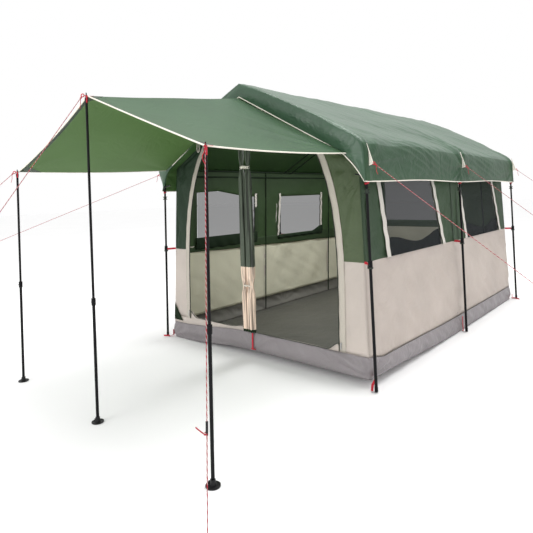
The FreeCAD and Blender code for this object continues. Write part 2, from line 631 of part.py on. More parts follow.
# ---- Export -------------------------------------------------------------------------
def main():
    os.makedirs("parts", exist_ok=True)
    legs = [(sn, s, yn, y) for sn, s in SIDES.items() for yn, y in LEG_YS.items()]
    for side_name, s, row, y in legs:
        export(f"leg_lower_{side_name}_{row}", leg_lower(s, y))
        export(f"leg_button_{side_name}_{row}", leg_button(s, y))
    export("leg_uppers", [leg_upper(s, y) for _, s, _, y in legs])
    export("eave_elbows", [eave_elbow(s, y) for _, s, _, y in legs])
    export("rafters", [rafter(s, y) for _, s, _, y in legs])
    export("ridge_hubs", [ridge_hub(y) for y in LEG_YS.values()])
    export("ridge_poles", [ridge_pole(FRONT_Y, MID_Y), ridge_pole(MID_Y, REAR_Y)])
    export("wall_clips", [wall_clip(s, y) for _, s, _, y in legs])

    uppers = []
    for name, (x, top) in PORCH_POLES.items():
        foot_x = porch_foot_x(x, top)
        lower = [leaning(solid, x, top) for solid in porch_lower(foot_x)]
        uppers += [leaning(solid, x, top) for solid in porch_upper(foot_x, top)]
        export(f"porch_pole_lower_{name}", lower)
        export(f"porch_button_{name}", leaning(porch_button(foot_x), x, top))
        export(f"porch_foot_{name}", porch_foot(foot_x))
    export("porch_pole_uppers", uppers)
    export("porch_loops", [pole_loop(x, top) for x, top in PORCH_POLES.values()])

    export("groundsheet", groundsheet())
    export("wall_front", wall_front())
    export("wall_rear", wall_rear())
    export("wall_left", wall_side(-1))
    export("wall_right", wall_side(1))
    export("window_mesh", window_mesh())
    export("inner_roof", inner_roof())
    export("fly", fly())
    export("canopy", canopy())
    export("piping", piping())
    export("door_rolls", [door_roll(-ROLL_R), door_roll(ROLL_R)])
    export("door_ties", [door_tie(z) for z in (626, 1640)])
    for name, s in SIDES.items():
        export(f"zip_pull_{name}", zip_pull(s))

    side_guys = [n for n in GUYS if "porch" not in n]
    tabs = [guy_tab(math.copysign(1, GUYS[n][0][0]), *GUYS[n][0][1:]) for n in side_guys]
    export("guy_tabs", tabs)
    export("guy_eyes", [guy_eye(n) for n in GUYS])
    for name in GUYS:
        export(name, guy_line(name))
    ends = [solid for n in GUYS for solid in guy_end(n)]
    export("guy_ends", ends + [ground_peg()])
    export("guy_runner", runner())

    strap, pin = centre_strap()
    export("belt_straps", [belt_strap(s, y) for _, s, _, y in legs])
    export("corner_hooks", [corner_hook(s, y) for _, s, _, y in legs])
    export("foot_straps", [foot_strap(s, y) for _, s, _, y in legs] + [strap])
    export("foot_pins", [foot_pin(s, y) for _, s, _, y in legs] + [pin])


main()
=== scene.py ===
"""Looks of the cabin tent: fabric shell, porch canopy, webbing, guy lines, materials and studio.

Metres, +Z up, +X to the right, +Y to the rear, in the same frame as the CAD model.
"""
import math

import bmesh
import bpy
import numpy as np
from mathutils import Matrix, Vector


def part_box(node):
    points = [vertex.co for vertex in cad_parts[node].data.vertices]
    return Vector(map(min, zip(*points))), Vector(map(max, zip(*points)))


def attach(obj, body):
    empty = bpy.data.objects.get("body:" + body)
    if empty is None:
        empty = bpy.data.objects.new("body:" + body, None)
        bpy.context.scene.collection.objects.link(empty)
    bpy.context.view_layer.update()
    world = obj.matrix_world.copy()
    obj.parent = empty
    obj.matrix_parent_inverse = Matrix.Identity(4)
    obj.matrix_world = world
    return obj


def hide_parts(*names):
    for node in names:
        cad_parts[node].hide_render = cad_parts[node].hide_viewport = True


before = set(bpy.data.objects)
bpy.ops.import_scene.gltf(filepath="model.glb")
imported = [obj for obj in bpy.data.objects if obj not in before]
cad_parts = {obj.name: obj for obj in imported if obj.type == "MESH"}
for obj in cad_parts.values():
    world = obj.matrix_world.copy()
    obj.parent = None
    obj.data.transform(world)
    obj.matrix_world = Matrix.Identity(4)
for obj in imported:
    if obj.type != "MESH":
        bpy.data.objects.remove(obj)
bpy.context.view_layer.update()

# ---- Sizes ---------------------------------------------------------------------------
FLY_LOW, FLY_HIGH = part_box("fly")
FRONT_Y, REAR_Y = FLY_LOW.y, FLY_HIGH.y
HEM_X, HEM_Z = FLY_HIGH.x, FLY_LOW.z
FRAMES_Y = (-1.09, 0.715, 2.52)        # where the three leg frames stand
RIDGE_TOP, RIDGE_RISE = 2.340, 0.0145  # the fly's ridge at the front, and its rise to the rear
SHOULDER_X, SHOULDER_Z, SHOULDER_ROUND = 1.158, 1.748, 0.07
CROWN, SLOPE_SAG, HEM_LIFT = 0.034, 0.022, 0.012
VISOR_TOP_Z, KNEE, KNEE_CONTROL = 2.219, (0.977, 1.679), (1.070, 1.628)

BAND_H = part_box("groundsheet")[1].z
WALL_FOOT_X, WALL_LEAN = 1.110, 0.0408
FRONT_FOOT_Y, REAR_FOOT_Y, END_LEAN = -1.050, 2.480, 0.0204
BELT_Z, WALL_TOP_Z, INNER_TOP_Z, INNER_SLOPE = 0.889, 1.688, 2.250, 0.5403
SILL_Z, ARCH_BASE_Z, ARCH_TOP_Z, ARCH_HALF, ARCH_POWER = 0.220, 0.600, 2.100, 0.860, 2.6
WINDOW_TOP_Z = 1.500
REAR_WINDOW_X, REAR_WINDOW_Z = 0.550, (0.985, 1.540)
# Windows' ends along the wall at their lower and upper corners
WINDOWS = {
    1: ((-0.640, 0.420, -0.740, 0.235), (1.075, 2.205, 0.945, 2.000)),
    -1: ((-0.750, 0.140, -0.750, 0.150), (0.585, 1.500, 0.620, 1.505)),
}

FABRIC = 0.0012
PIPE_R = 0.0045
WEBBING_THICK = 0.0016
# Each line's start at its tab and its far end
GUYS = {
    "guy_right_front": [(1.210, -1.100, 1.590), (2.165, -0.932, 0.803)],
    "guy_right_mid": [(1.210, 0.715, 1.616), (1.812, 0.821, 1.093)],
    "guy_right_rear": [(1.210, 2.520, 1.624), (1.470, 2.520, 1.412)],
    "guy_left_front": [(-1.210, -1.100, 1.636), (-2.270, -2.324, 1.004)],
    "guy_left_mid": [(-1.210, 0.715, 1.616), (-1.812, 0.821, 1.093)],
    "guy_left_rear": [(-1.210, 2.520, 1.624), (-1.470, 2.520, 1.412)],
    "guy_porch_mid": [(-0.015, -2.536, 2.054), (-0.285, -3.005, 1.258)],
    "guy_porch_left": [(-1.115, -2.535, 1.634), (-1.199, -2.684, 1.474)],
    "guy_porch_right": [(1.114, -2.536, 1.634), (1.603, -3.023, 0.060)],
}
CORD_R, EYE_REACH, END_REACH, CORD_LAY = 0.0025, 0.0109, 0.0163, 0.026
# Each guy tab's side, and the place of its tip along the tent and above the ground
TABS = [(math.copysign(1, x), y, z) for name, ((x, y, z), end) in GUYS.items() if "porch" not in name]
LEGS = [(side, y) for side in (-1, 1) for y in FRAMES_Y]
PANES = [(side, index) for side in (-1, 1) for index in (0, 1)]
LEG_FOOT_X, LEG_LEAN, LEG_CLEAR = 1.174, 0.0211, 0.0175
PIN_X = 1.140                          # where the rings of the foot pins are
PORCH_TOPS = ((-1.098, 1.632), (0.0, 2.046), (1.098, 1.632))
# Across positions of a guy tab's top, lower end and tip
TAB_X = (SHOULDER_X, 1.168, 1.204)


# ---- Camera --------------------------------------------------------------------------
def add_camera():
    """Stands in front, to the right, at eye height."""
    place, turn, tilt, roll = (2.814, -4.045, 1.389), 41.3277, 0.6457, -1.797
    az, down, lean = (math.radians(a) for a in (turn, tilt, roll))
    ahead = Vector((-math.sin(az) * math.cos(down), math.cos(az) * math.cos(down), -math.sin(down)))
    level = Vector((math.cos(az), math.sin(az), 0.0))
    above = level.cross(ahead)
    right = level * math.cos(lean) + above * math.sin(lean)
    top = above * math.cos(lean) - level * math.sin(lean)
    data = bpy.data.cameras.new("camera")
    data.lens, data.shift_y = 32.353, -0.12195
    camera = bpy.data.objects.new("camera", data)
    bpy.context.scene.collection.objects.link(camera)
    columns = Matrix((right, top, -ahead)).transposed().to_4x4()
    camera.matrix_world = Matrix.Translation(place) @ columns
    bpy.context.scene.camera = camera


# ---- Materials -----------------------------------------------------------------------
class Shader:
    """A node material under construction."""

    def __init__(self, name):
        self.material = bpy.data.materials.new(name)
        self.material.use_nodes = True
        self.nodes = self.material.node_tree.nodes
        self.principled = self.nodes["Principled BSDF"]
        self.coords = self.nodes.new("ShaderNodeTexCoord").outputs["Object"]

    def feed(self, node, inputs):
        """Links an input where a socket is given, and sets it otherwise."""
        for key, value in inputs.items():
            if isinstance(value, bpy.types.NodeSocket):
                self.material.node_tree.links.new(value, node.inputs[key])
            else:
                node.inputs[key].default_value = value

    def add(self, kind, inputs, **settings):
        node = self.nodes.new("ShaderNode" + kind)
        for key, value in settings.items():
            setattr(node, key, value)
        self.feed(node, inputs)
        return node

    def math(self, operation, *values):
        return self.add("Math", dict(enumerate(values)), operation=operation).outputs["Value"]

    def noise(self, scale, detail=3.0, distortion=0.0, stretch=None):
        source = self.coords
        if stretch:
            source = self.add("Mapping", {"Vector": source, "Scale": stretch}).outputs["Vector"]
        inputs = {"Vector": source, "Scale": scale, "Detail": detail, "Distortion": distortion}
        return self.add("TexNoise", inputs).outputs["Fac"]

    def ramp(self, factor, colour, low, high, spread=(0.3, 0.7)):
        """One colour, from a darker to a lighter shade."""
        node = self.add("ValToRGB", {"Fac": factor})
        for element, place, share in zip(node.color_ramp.elements, spread, (low, high)):
            element.position = place
            element.color = (*(min(1.0, c * share) for c in colour), 1.0)
        return node.outputs["Color"]

    def bump(self, height, strength, distance, below=None):
        inputs = {"Height": height, "Strength": strength, "Distance": distance}
        if below:
            inputs["Normal"] = below
        return self.add("Bump", inputs).outputs["Normal"]

    def threads(self, below=None):
        """The fine grain of woven cloth."""
        return self.bump(self.noise(420.0, 2.0), 0.2, 0.0004, below)

    def weave(self, pitch):
        """Crossed threads: two waves over the object's own coordinates."""
        waves = []
        for axis, slant in (("X", 0.6), ("Z", 0.0)):
            turned = self.add("Mapping", {"Vector": self.coords, "Rotation": (0.0, 0.0, slant)})
            inputs = {"Vector": turned.outputs["Vector"], "Scale": 0.314 / pitch, "Distortion": 0.4}
            waves.append(self.add("TexWave", inputs, bands_direction=axis).outputs["Fac"])
        return self.math("ADD", *waves)

    def creases(self, scale):
        """Sharp-edged wandering creases, as a height between 0 and 0.5."""
        centred = self.math("SUBTRACT", self.noise(scale, distortion=1.6), 0.5)
        return self.math("ABSOLUTE", centred)

    def surface(self, colour, rough, normal, gloss=0.5):
        inputs = {"Base Color": colour, "Roughness": rough, "Normal": normal, "Specular IOR Level": gloss}
        self.feed(self.principled, inputs)
        return self.material


def fabric(name, colour, rough=0.55, through=0.0, crumple=0.35, glow=None, gloss=0.35):
    """Coated polyester: uneven tone, fine weave, creases and light from behind."""
    shader = Shader(name)
    tone = shader.ramp(shader.noise(2.2, 5.0), colour, 0.90, 1.08)
    creased = shader.bump(shader.creases(3.1), crumple, 0.026, shader.threads())
    small = shader.bump(shader.creases(8.7), crumple, 0.009, creased)
    if through:
        front = shader.principled.outputs["BSDF"]
        back = shader.add("BsdfTranslucent", {"Color": (*(glow or colour), 1.0), "Normal": creased})
        blend = shader.add("MixShader", {"Fac": through, 1: front, 2: back.outputs["BSDF"]})
        shader.feed(shader.nodes["Material Output"], {"Surface": blend.outputs["Shader"]})
    return shader.surface(tone, rough, small, gloss)


def roll_painted_shade(name, colour):
    """Rolled cloth: valleys that run along the roll, painted dark as shade."""
    shader = Shader(name)
    broad = shader.noise(60.0, 2.0, stretch=(1.0, 1.0, 0.035))
    # Painted shade: the valleys are coloured down to 0.30 of the colour and the ridges a little lighter.
    tone = shader.ramp(broad, colour, 0.30, 1.15, (0.36, 0.56))
    return shader.surface(tone, 0.60, shader.threads(shader.bump(broad, 0.6, 0.006)))


def netting(name, colour, cover):
    """Insect mesh: dark threads, and the gaps between them as even transparency."""
    material = fabric(name, colour, rough=0.8, crumple=0.05, gloss=0.1)
    material.node_tree.nodes["Principled BSDF"].inputs["Alpha"].default_value = cover
    return material


def hard(name, colour, rough, metallic=0.0, grain=400.0, gloss=0.5):
    """Painted or moulded surface with a fine grain and slightly worn tone."""
    shader = Shader(name)
    broad = shader.noise(14.0, 6.0)
    haze = shader.add("MapRange", {"Value": broad, "To Min": rough - 0.07, "To Max": rough + 0.07})
    shader.principled.inputs["Metallic"].default_value = metallic
    normal = shader.bump(shader.noise(grain, 2.0), 0.4, 0.0002)
    return shader.surface(shader.ramp(broad, colour, 0.75, 1.25), haze.outputs["Result"], normal, gloss)


def ribbed(name, colour, pitch):
    """Woven tape or binding: ribs across a coarse weave."""
    shader = Shader(name)
    threads = shader.weave(pitch)
    tone = shader.ramp(threads, colour, 0.8, 1.1, (0.2, 1.4))
    return shader.surface(tone, 0.6, shader.bump(threads, 0.7, 0.0006))


# Painted shade: the fly's side drops take a darker copy of the fly's green cloth, as if in shade.
FLY_SIDE_PAINTED_SHADE = fabric("fly_side_painted_shade", (0.035, 0.078, 0.042), 0.45, 0.12, 0.90, (0.40, 0.75, 0.38), 0.25)
FLY_GREEN = fabric("fly_green", (0.044, 0.098, 0.056), 0.34, 0.12, 0.60, (0.40, 0.75, 0.38), 0.55)
# Painted light: the fly's underside is coloured brighter and yellower than its top, for light coming through
# the cloth, on top of its real translucency.
FLY_UNDER_PAINTED_LIGHT = fabric("fly_under_painted_light", (0.100, 0.150, 0.060), 0.60, 0.40, 0.40, (0.60, 0.78, 0.42))
CANOPY_TOP = fabric("canopy_top", (0.046, 0.096, 0.058), 0.48, 0.26, 0.30, (0.50, 0.68, 0.34), 0.25)
# Painted light: the canopy's underside is coloured brighter and yellower for light coming through it, on top
# of its real translucency.
CANOPY_UNDER_PAINTED_LIGHT = fabric("canopy_under_painted_light", (0.070, 0.135, 0.045), 0.60, 0.32, 0.35, (0.48, 0.68, 0.34))
WALL_GREEN = fabric("wall_green", (0.036, 0.064, 0.036), 0.55, 0.18, 0.70, (0.38, 0.58, 0.30), 0.22)
WALL_GREEN_IN = fabric("wall_green_inside", (0.030, 0.056, 0.022), 0.70, 0.25, 0.35, (0.34, 0.48, 0.24))
# Painted shade: a darker copy of the front green for the left front panel, which lies in the canopy's shadow.
LEFT_FRONT_PAINTED_SHADE = fabric("front_green_painted_shade", (0.025, 0.046, 0.028), 0.55, 0.15, 0.70, (0.34, 0.50, 0.30), 0.2)
FRONT_GREEN = fabric("front_green", (0.086, 0.118, 0.060), 0.50, 0.20, 1.00, (0.60, 0.72, 0.38))
WALL_BEIGE = fabric("wall_beige", (0.575, 0.510, 0.470), 0.55, 0.15, 0.60, (0.90, 0.85, 0.75))
# Painted shade: a darker copy of the wall beige for the side walls, which get less light than the front.
SIDE_BEIGE_PAINTED_SHADE = fabric("side_beige_painted_shade", (0.500, 0.435, 0.400), 0.55, 0.15, 0.80, (0.90, 0.85, 0.75))
WALL_BEIGE_IN = fabric("wall_beige_inside", (0.700, 0.700, 0.570), 0.70, 0.30, 0.30, (0.95, 0.93, 0.76))
ROOF_IN = fabric("roof_inside", (0.036, 0.078, 0.026), 0.70, 0.30, 0.35, (0.50, 0.80, 0.35))
BAND_GREY = fabric("band_grey", (0.225, 0.204, 0.212), 0.45, crumple=0.75, gloss=0.5)
BAND_IN = fabric("band_inside", (0.180, 0.175, 0.158), 0.60, crumple=0.35)
FLOOR_GREY = fabric("floor_grey", (0.105, 0.104, 0.090), 0.50, crumple=0.60)
CURTAIN = fabric("curtain_dark", (0.013, 0.024, 0.012), 0.75, gloss=0.1)
# The rolls' fold valleys are darkened as painted shade; the green roll is also set darker than the front
# green as painted shade.
ROLL_GREEN = roll_painted_shade("roll_green", (0.066, 0.086, 0.058))
PATCH_GREEN = fabric("patch_green", (0.030, 0.052, 0.028), 0.55)
ROLL_BEIGE = roll_painted_shade("roll_beige", (0.760, 0.600, 0.480))
CREAM = ribbed("cream_tape", (0.780, 0.740, 0.650), 0.004)
PALE_TAPE = ribbed("pale_tape", (0.560, 0.530, 0.480), 0.004)
FACING = ribbed("facing_tape", (0.480, 0.440, 0.380), 0.004)
DARK_TAPE = ribbed("dark_tape", (0.020, 0.030, 0.020), 0.004)
RED_TAPE = ribbed("red_webbing", (0.480, 0.008, 0.026), 0.003)
RED_STRAND = ribbed("red_strand", (0.420, 0.012, 0.030), 0.002)
PALE_STRAND = ribbed("pale_strand", (0.620, 0.480, 0.470), 0.002)
SCREEN = netting("window_net", (0.019, 0.021, 0.024), 0.72)
POLE_BLACK = hard("pole_black", (0.003, 0.003, 0.004), 0.45, grain=900.0, gloss=0.15)
PLASTIC_BLACK = hard("plastic_black", (0.008, 0.008, 0.009), 0.5, grain=300.0, gloss=0.3)
PIN_STEEL = hard("pin_steel", (0.450, 0.450, 0.460), 0.32, metallic=1.0)


# ---- Mesh helpers --------------------------------------------------------------------
class Build:
    """Collects grids of points into one mesh."""

    def __init__(self, points=None, mark=0, wrap=False):
        self.points, self.faces, self.marks = [], [], []
        if points is not None:
            self.grid(points, mark, wrap)

    def grid(self, points, mark=0, wrap=False):
        """Quads over a (rows, columns, 3) array; mark is a number, or a test that may give None."""
        rows, cols = points.shape[:2]
        base = len(self.points)
        self.points.extend(points.reshape(-1, 3).tolist())
        for r in range(rows - 1):
            for c in range(cols if wrap else cols - 1):
                value = mark(r, c) if callable(mark) else mark
                if value is None:
                    continue
                d = (c + 1) % cols
                low, high = base + r * cols, base + (r + 1) * cols
                self.faces.append((low + c, low + d, high + d, high + c))
                self.marks.append(value)

    def tube(self, rings, mark=0):
        """Closed tube with a fan at each end."""
        self.grid(rings, mark, wrap=True)
        value = mark if not callable(mark) else mark(0, 0)
        for ring, turn in ((rings[0], -1), (rings[-1], 1)):
            base = len(self.points)
            self.points.extend(ring.tolist() + [ring.mean(axis=0).tolist()])
            count = len(ring)
            for k in range(count):
                pair = (base + k, base + (k + 1) % count)
                self.faces.append((*pair[::turn], base + count))
                self.marks.append(value)

    def along(self, path, section, mark=0, **how):
        """Closed tube of a section swept along a path."""
        self.tube(sweep(path, section, **how), mark)

    def piece(self, name, materials):
        mesh = bpy.data.meshes.new(name)
        mesh.from_pydata(self.points, [], self.faces)
        for material in materials:
            mesh.materials.append(material)
        mesh.polygons.foreach_set("material_index", self.marks)
        mesh.polygons.foreach_set("use_smooth", [True] * len(mesh.polygons))
        used = set(v for face in self.faces for v in face)
        if len(used) < len(self.points):
            drop_loose(mesh)
        mesh.update()
        obj = bpy.data.objects.new(name, mesh)
        bpy.context.scene.collection.objects.link(obj)
        return obj


def drop_loose(mesh):
    """Removes the points that no face uses, such as those inside a window's opening."""
    work = bmesh.new()
    work.from_mesh(mesh)
    loose = [v for v in work.verts if not v.link_faces]
    bmesh.ops.delete(work, geom=loose, context="VERTS")
    work.to_mesh(mesh)
    work.free()


def face_away(obj, inside):
    """Turns a sheet's faces so that they look away from a point."""
    mesh, inside = obj.data, Vector(inside)
    total = sum(p.normal.dot(p.center - inside) * p.area for p in mesh.polygons)
    if total < 0:
        mesh.flip_normals()


def thicken(obj, thick=FABRIC, inner=0):
    """Gives a sheet its thickness; the inner side's material is so many slots further on."""
    solid = obj.modifiers.new("thickness", "SOLIDIFY")
    solid.thickness = thick
    solid.offset = -1.0
    solid.material_offset = inner


def cloth(name, build, materials, nodes=(),
          inside=(0, 0.7, 1.0)):
    """A sheet of cloth with its outer and inner materials in pairs."""
    obj = build.piece(name, materials)
    face_away(obj, inside)
    thicken(obj, inner=1)
    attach(obj, "root")
    if nodes:
        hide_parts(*nodes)
    return obj


def trim(name, build, materials, nodes=(), body="root"):
    """A small piece that isn't a sheet: tape, cord, strap or ring."""
    obj = build.piece(name, materials)
    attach(obj, body)
    if nodes:
        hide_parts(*nodes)
    return obj


def resample(points, count, crowd=1.0):
    """Points along a polyline, evenly spaced or crowded towards its end."""
    points = np.asarray(points, float)
    steps = np.linalg.norm(np.diff(points, axis=0), axis=1)
    places = np.concatenate([[0.0], np.cumsum(steps)])
    wanted = places[-1] * (1 - (1 - np.linspace(0.0, 1.0, count)) ** crowd)
    return np.stack([np.interp(wanted, places, column) for column in points.T], axis=1)


def bezier(a, b, c, count):
    t = np.linspace(0.0, 1.0, count)[:, None]
    return (1 - t) ** 2 * np.array(a) + 2 * t * (1 - t) * np.array(b) + t**2 * np.array(c)


def join(*parts):
    """Points whose coordinates are the parts; a single number serves them all."""
    return np.stack(np.broadcast_arrays(*parts), axis=-1)


def lattice(rows, cols):
    """Row and column values of a grid; a whole number stands for so many from 0 to 1."""
    values = [np.linspace(0, 1, n) if isinstance(n, int) else n for n in (rows, cols)]
    return np.meshgrid(*values, indexing="ij")


def hoop(centre, across, rise, count, start=0.0, end=2 * math.pi):
    """Points round an ellipse, or a part of one, from its two half axes."""
    angle = np.linspace(start, end, count)[:, None]
    return np.array(centre) + np.cos(angle) * across + np.sin(angle) * rise


def unit(vectors):
    return vectors / np.maximum(np.linalg.norm(vectors, axis=-1, keepdims=True), 1e-9)


def sweep(path, section, up=(0, 0, 1), turns=0.0, scale=None):
    """Rings of a flat (n, 2) section carried along a path, turned evenly if wanted."""
    path = np.asarray(path, float)
    tangent = unit(np.gradient(path, axis=0))
    side = unit(np.cross(tangent, np.array(up, float)))
    lift = np.cross(side, tangent)
    section = np.asarray(section, float)
    share = np.linspace(0.0, 1.0, len(path))
    angle = 2 * math.pi * turns * share[:, None]
    size = np.ones(len(path)) if scale is None else np.asarray(scale)
    across = (section[:, 0] * np.cos(angle) - section[:, 1] * np.sin(angle)) * size[:, None]
    along = (section[:, 0] * np.sin(angle) + section[:, 1] * np.cos(angle)) * size[:, None]
    return path[:, None] + across[..., None] * side[:, None] + along[..., None] * lift[:, None]


def circle(radius, count=10, centre=(0.0, 0.0)):
    angle = np.linspace(0.0, 2 * math.pi, count, endpoint=False)
    return join(centre[0] + radius * np.cos(angle), centre[1] + radius * np.sin(angle))


def ribbon(width, thick):
    """Section of a flat tape with softened edges."""
    w, t, r = width / 2, thick / 2, thick * 0.4
    right = [(w - r, t), (w, t - r), (w, r - t), (w - r, -t)]
    return np.array(right + [(-x, z) for x, z in right[::-1]])


def displace(points, amount, flip=1.0):
    """Moves a grid of points along its own normals."""
    down, across = np.gradient(points, axis=0), np.gradient(points, axis=1)
    return points + flip * unit(np.cross(down, across)) * amount[..., None]


def swell(a, b, seed, depth, size):
    """Seeded soft unevenness: a few waves in mixed directions."""
    rng = np.random.RandomState(seed)
    total = np.zeros_like(a)
    for _ in range(7):
        turn, stretch = rng.uniform(0, math.pi), rng.uniform(0.6, 1.9)
        phase = rng.uniform(0, 2 * math.pi)
        way = a * math.cos(turn) + b * math.sin(turn)
        total = total + np.sin(way * 2 * math.pi * stretch / size + phase)
    return total * depth / 7 * 1.6


def pull_folds(a, b, anchor, count, depth, reach, phase=0.0, near=0.05):
    """Folds that fan out from a point where the cloth is pulled."""
    da, db = a - anchor[0], b - anchor[1]
    far = np.hypot(da, db)
    angle = np.arctan2(db, da)
    wobble = angle + 0.25 * np.sin(3.1 * angle + phase)
    ridge = np.sin(count * wobble + phase) + 0.4 * np.sin(2.3 * count * wobble + 2 * phase)
    return depth * ridge * far / (far + near) * np.exp(-far / reach)


def between_frames(y):
    """0 at each leg frame and 1 midway between two."""
    places = np.interp(y, FRAMES_Y, range(len(FRAMES_Y)))
    return np.sin(math.pi * places) ** 2


def ease(t):
    t = np.clip(t, 0.0, 1.0)
    return t * t * (3 - 2 * t)


def bell(distance, width):
    return np.exp(-((distance / width) ** 2))


# ---- Fly, visors and canopy ----------------------------------------------------------
HALF_COLS = 96


def ridge_height(y):
    return RIDGE_TOP + RIDGE_RISE * (y - FRONT_Y)


def fly_profile(y):
    """(x, z) points across the fly at y, from the ridge to the right hem."""
    top, slack = ridge_height(y), float(between_frames(y))
    t = np.linspace(0.0, 1.0, 90)
    crown = (CROWN - SLOPE_SAG * slack) * 4 * t * (1 - t)
    slope = join(t * SHOULDER_X, top + (SHOULDER_Z - top) * t + crown)
    corner = slope[-1]
    slope = slope[np.linalg.norm(slope - corner, axis=1) > SHOULDER_ROUND]
    hem = np.array((HEM_X, HEM_Z + HEM_LIFT * slack))
    start = corner + unit(hem - corner) * SHOULDER_ROUND
    curve = bezier(slope[-1], corner, start, 12)
    return resample(np.concatenate([slope, curve[1:], [hem]]), HALF_COLS, 1.5)


def both_halves(half):
    """A half profile from the middle outwards, mirrored into a whole one."""
    left = half[:0:-1] * np.array((-1.0, 1.0))
    return np.concatenate([left, half])


def left_corner(points):
    """Draws the fly's front left corner back to its leg."""
    x, y, z = np.moveaxis(points, -1, 0)
    near = ease((1.72 - z) / 0.24) * bell(y - FRONT_Y, 0.25) * (x < 0)
    points[..., 1] = y + 0.06 * near
    return points


def drape_folds(y, up):
    """Long folds that slant down towards the rear along the fly's side drops."""
    run = up + 0.27 * y + 0.010 * np.sin(5.1 * y)
    crest = 1 - np.abs(np.sin(math.pi * run / 0.066 + 0.9 * np.sin(2.7 * y + 4 * up)))
    patches = 0.55 + 0.45 * np.sin(4.3 * y + 9 * up + 1.0)
    reach = ease((up - 0.015) / 0.05) * ease((0.44 - up) / 0.16)
    return 0.011 * crest * patches * reach * (0.4 + 0.6 * between_frames(y))


def fly_sheet():
    ys = np.linspace(FRONT_Y, REAR_Y, 170)
    sections = np.array([both_halves(fly_profile(y)) for y in ys])
    points = join(sections[..., 0], ys[:, None], sections[..., 1])
    step = np.linalg.norm(np.diff(points, axis=1), axis=2)
    run = np.concatenate([np.zeros((len(ys), 1)), np.cumsum(step, axis=1)], axis=1)
    up = np.minimum(run, run[:, -1:] - run)            # distance up from the nearer hem
    y, side = points[..., 1], np.sign(points[..., 0])
    lift = swell(y, points[..., 0], 3, 0.012, 0.8) * ease(up / 0.1)
    lift += swell(y + 0.5 * up, up, 5, 0.003, 0.30) * ease(up / 0.1) + drape_folds(y, up)
    for s, tab_y, tab_z in TABS:
        here = (side == s) * ease((up + 0.02) / 0.08)
        anchor = (tab_y, tab_z - HEM_Z)
        lift += here * pull_folds(y, up, anchor, 9, 0.0160, 0.50, 0.7 * s + tab_y)
        under = (side == s) * bell(y - tab_y, 0.035) * ease((0.30 - np.abs(up - 0.2)) / 0.08)
        lift = lift * (1 - under) + 0.008 * under
    for frame_y in FRAMES_Y:
        lift += 0.004 * bell(y - frame_y, 0.03) * ease(up / 0.3)
    fade = ease((y - FRONT_Y) / 0.04) * ease((REAR_Y - y) / 0.04)
    points = displace(points, np.clip(lift, -0.006, 0.030) * fade, -1.0)
    # Faces below the shoulder take the darker side-drop material: painted shade on the same cloth.
    build = Build(left_corner(points), lambda i, j: 2 if points[0, j, 2] < SHOULDER_Z - 0.01 else 0)
    cloth("fly_sheet", build, [FLY_GREEN, FLY_UNDER_PAINTED_LIGHT, FLY_SIDE_PAINTED_SHADE, FLY_UNDER_PAINTED_LIGHT],
          ["fly"])


def visor_edge():
    """Right half of the lower edge of a visor, from the middle to the hem's corner."""
    straight = [(0.0, VISOR_TOP_Z), KNEE]
    curve = bezier(KNEE, KNEE_CONTROL, (HEM_X - 0.004, HEM_Z - 0.002), 16)
    return resample(np.concatenate([straight, curve[1:]]), HALF_COLS)


def visor(name, y, outwards):
    upper, lower = both_halves(fly_profile(y)), both_halves(visor_edge())
    v = np.linspace(0.0, 1.0, 14)[:, None]
    x, z = np.moveaxis(upper * (1 - v[..., None]) + lower * v[..., None], -1, 0)
    points = join(x, y + outwards * 0.014 * np.sin(math.pi * v), z)
    lift = swell(x, z, 11, 0.004, 0.5)
    for s in (-1, 1):
        lift += pull_folds(x, z, (s * 1.16, 1.50), 6, 0.005, 0.25, s)
        lift += pull_folds(x, z, (s * 1.02, 1.66), 9, 0.004, 0.18, 1.3 * s)
    points[..., 1] += outwards * np.clip(lift, -0.004, 0.02) * ease(np.minimum(v, 1 - v) * 6)
    cloth(name, Build(left_corner(points)), [FLY_GREEN, FLY_UNDER_PAINTED_LIGHT])


CANOPY_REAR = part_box("canopy")[1].y
CANOPY_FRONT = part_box("canopy")[0].y
CANOPY_RIDGE = (VISOR_TOP_Z - 0.002, 2.052)            # heights at the rear and the front
CANOPY_EDGE_X, CANOPY_EDGE_Z = (1.023, 1.088), (1.672, 1.639)


def canopy_points(u, v):
    """u runs across from -1 to 1, v from the fly to the porch poles."""
    wide, crest, edge = (a + (b - a) * v for a, b in (CANOPY_EDGE_X, CANOPY_RIDGE, CANOPY_EDGE_Z))
    out = np.abs(u)
    y = CANOPY_REAR + (CANOPY_FRONT - CANOPY_REAR) * v
    hang = 4 * v * (1 - v)
    across = 4 * out * (1 - out)
    z = crest + (edge - crest) * out - 0.004 * hang * out - 0.008 * hang - 0.022 * across * (0.35 + hang)
    x = u * wide * (1 - 0.012 * hang * out)
    y = y + 0.016 * across * ease((v - 0.6) / 0.4)      # the front hems bow inwards
    points = join(x, y, z)
    lift = swell(x, y, 21, 0.004, 0.7)
    for s in (-1, 1):
        lift = lift + pull_folds(x, y, (s * 1.02, CANOPY_REAR), 10, 0.0085, 0.38, s)
        lift = lift + pull_folds(x, y, (s * 1.09, CANOPY_FRONT), 7, 0.0055, 0.32, 0.4 + s)
    lift = lift + pull_folds(x, y, (0.0, CANOPY_FRONT), 8, 0.003, 0.22, 0.9)
    points[..., 2] += lift * ease(np.minimum(v, 1 - v) / 0.08) * ease((1 - out) / 0.08)
    return points


def canopy_sheet():
    v, u = lattice(64, np.linspace(-1, 1, 121))
    cloth("canopy_sheet", Build(canopy_points(u, v)), [CANOPY_TOP, CANOPY_UNDER_PAINTED_LIGHT],
          ["canopy"])


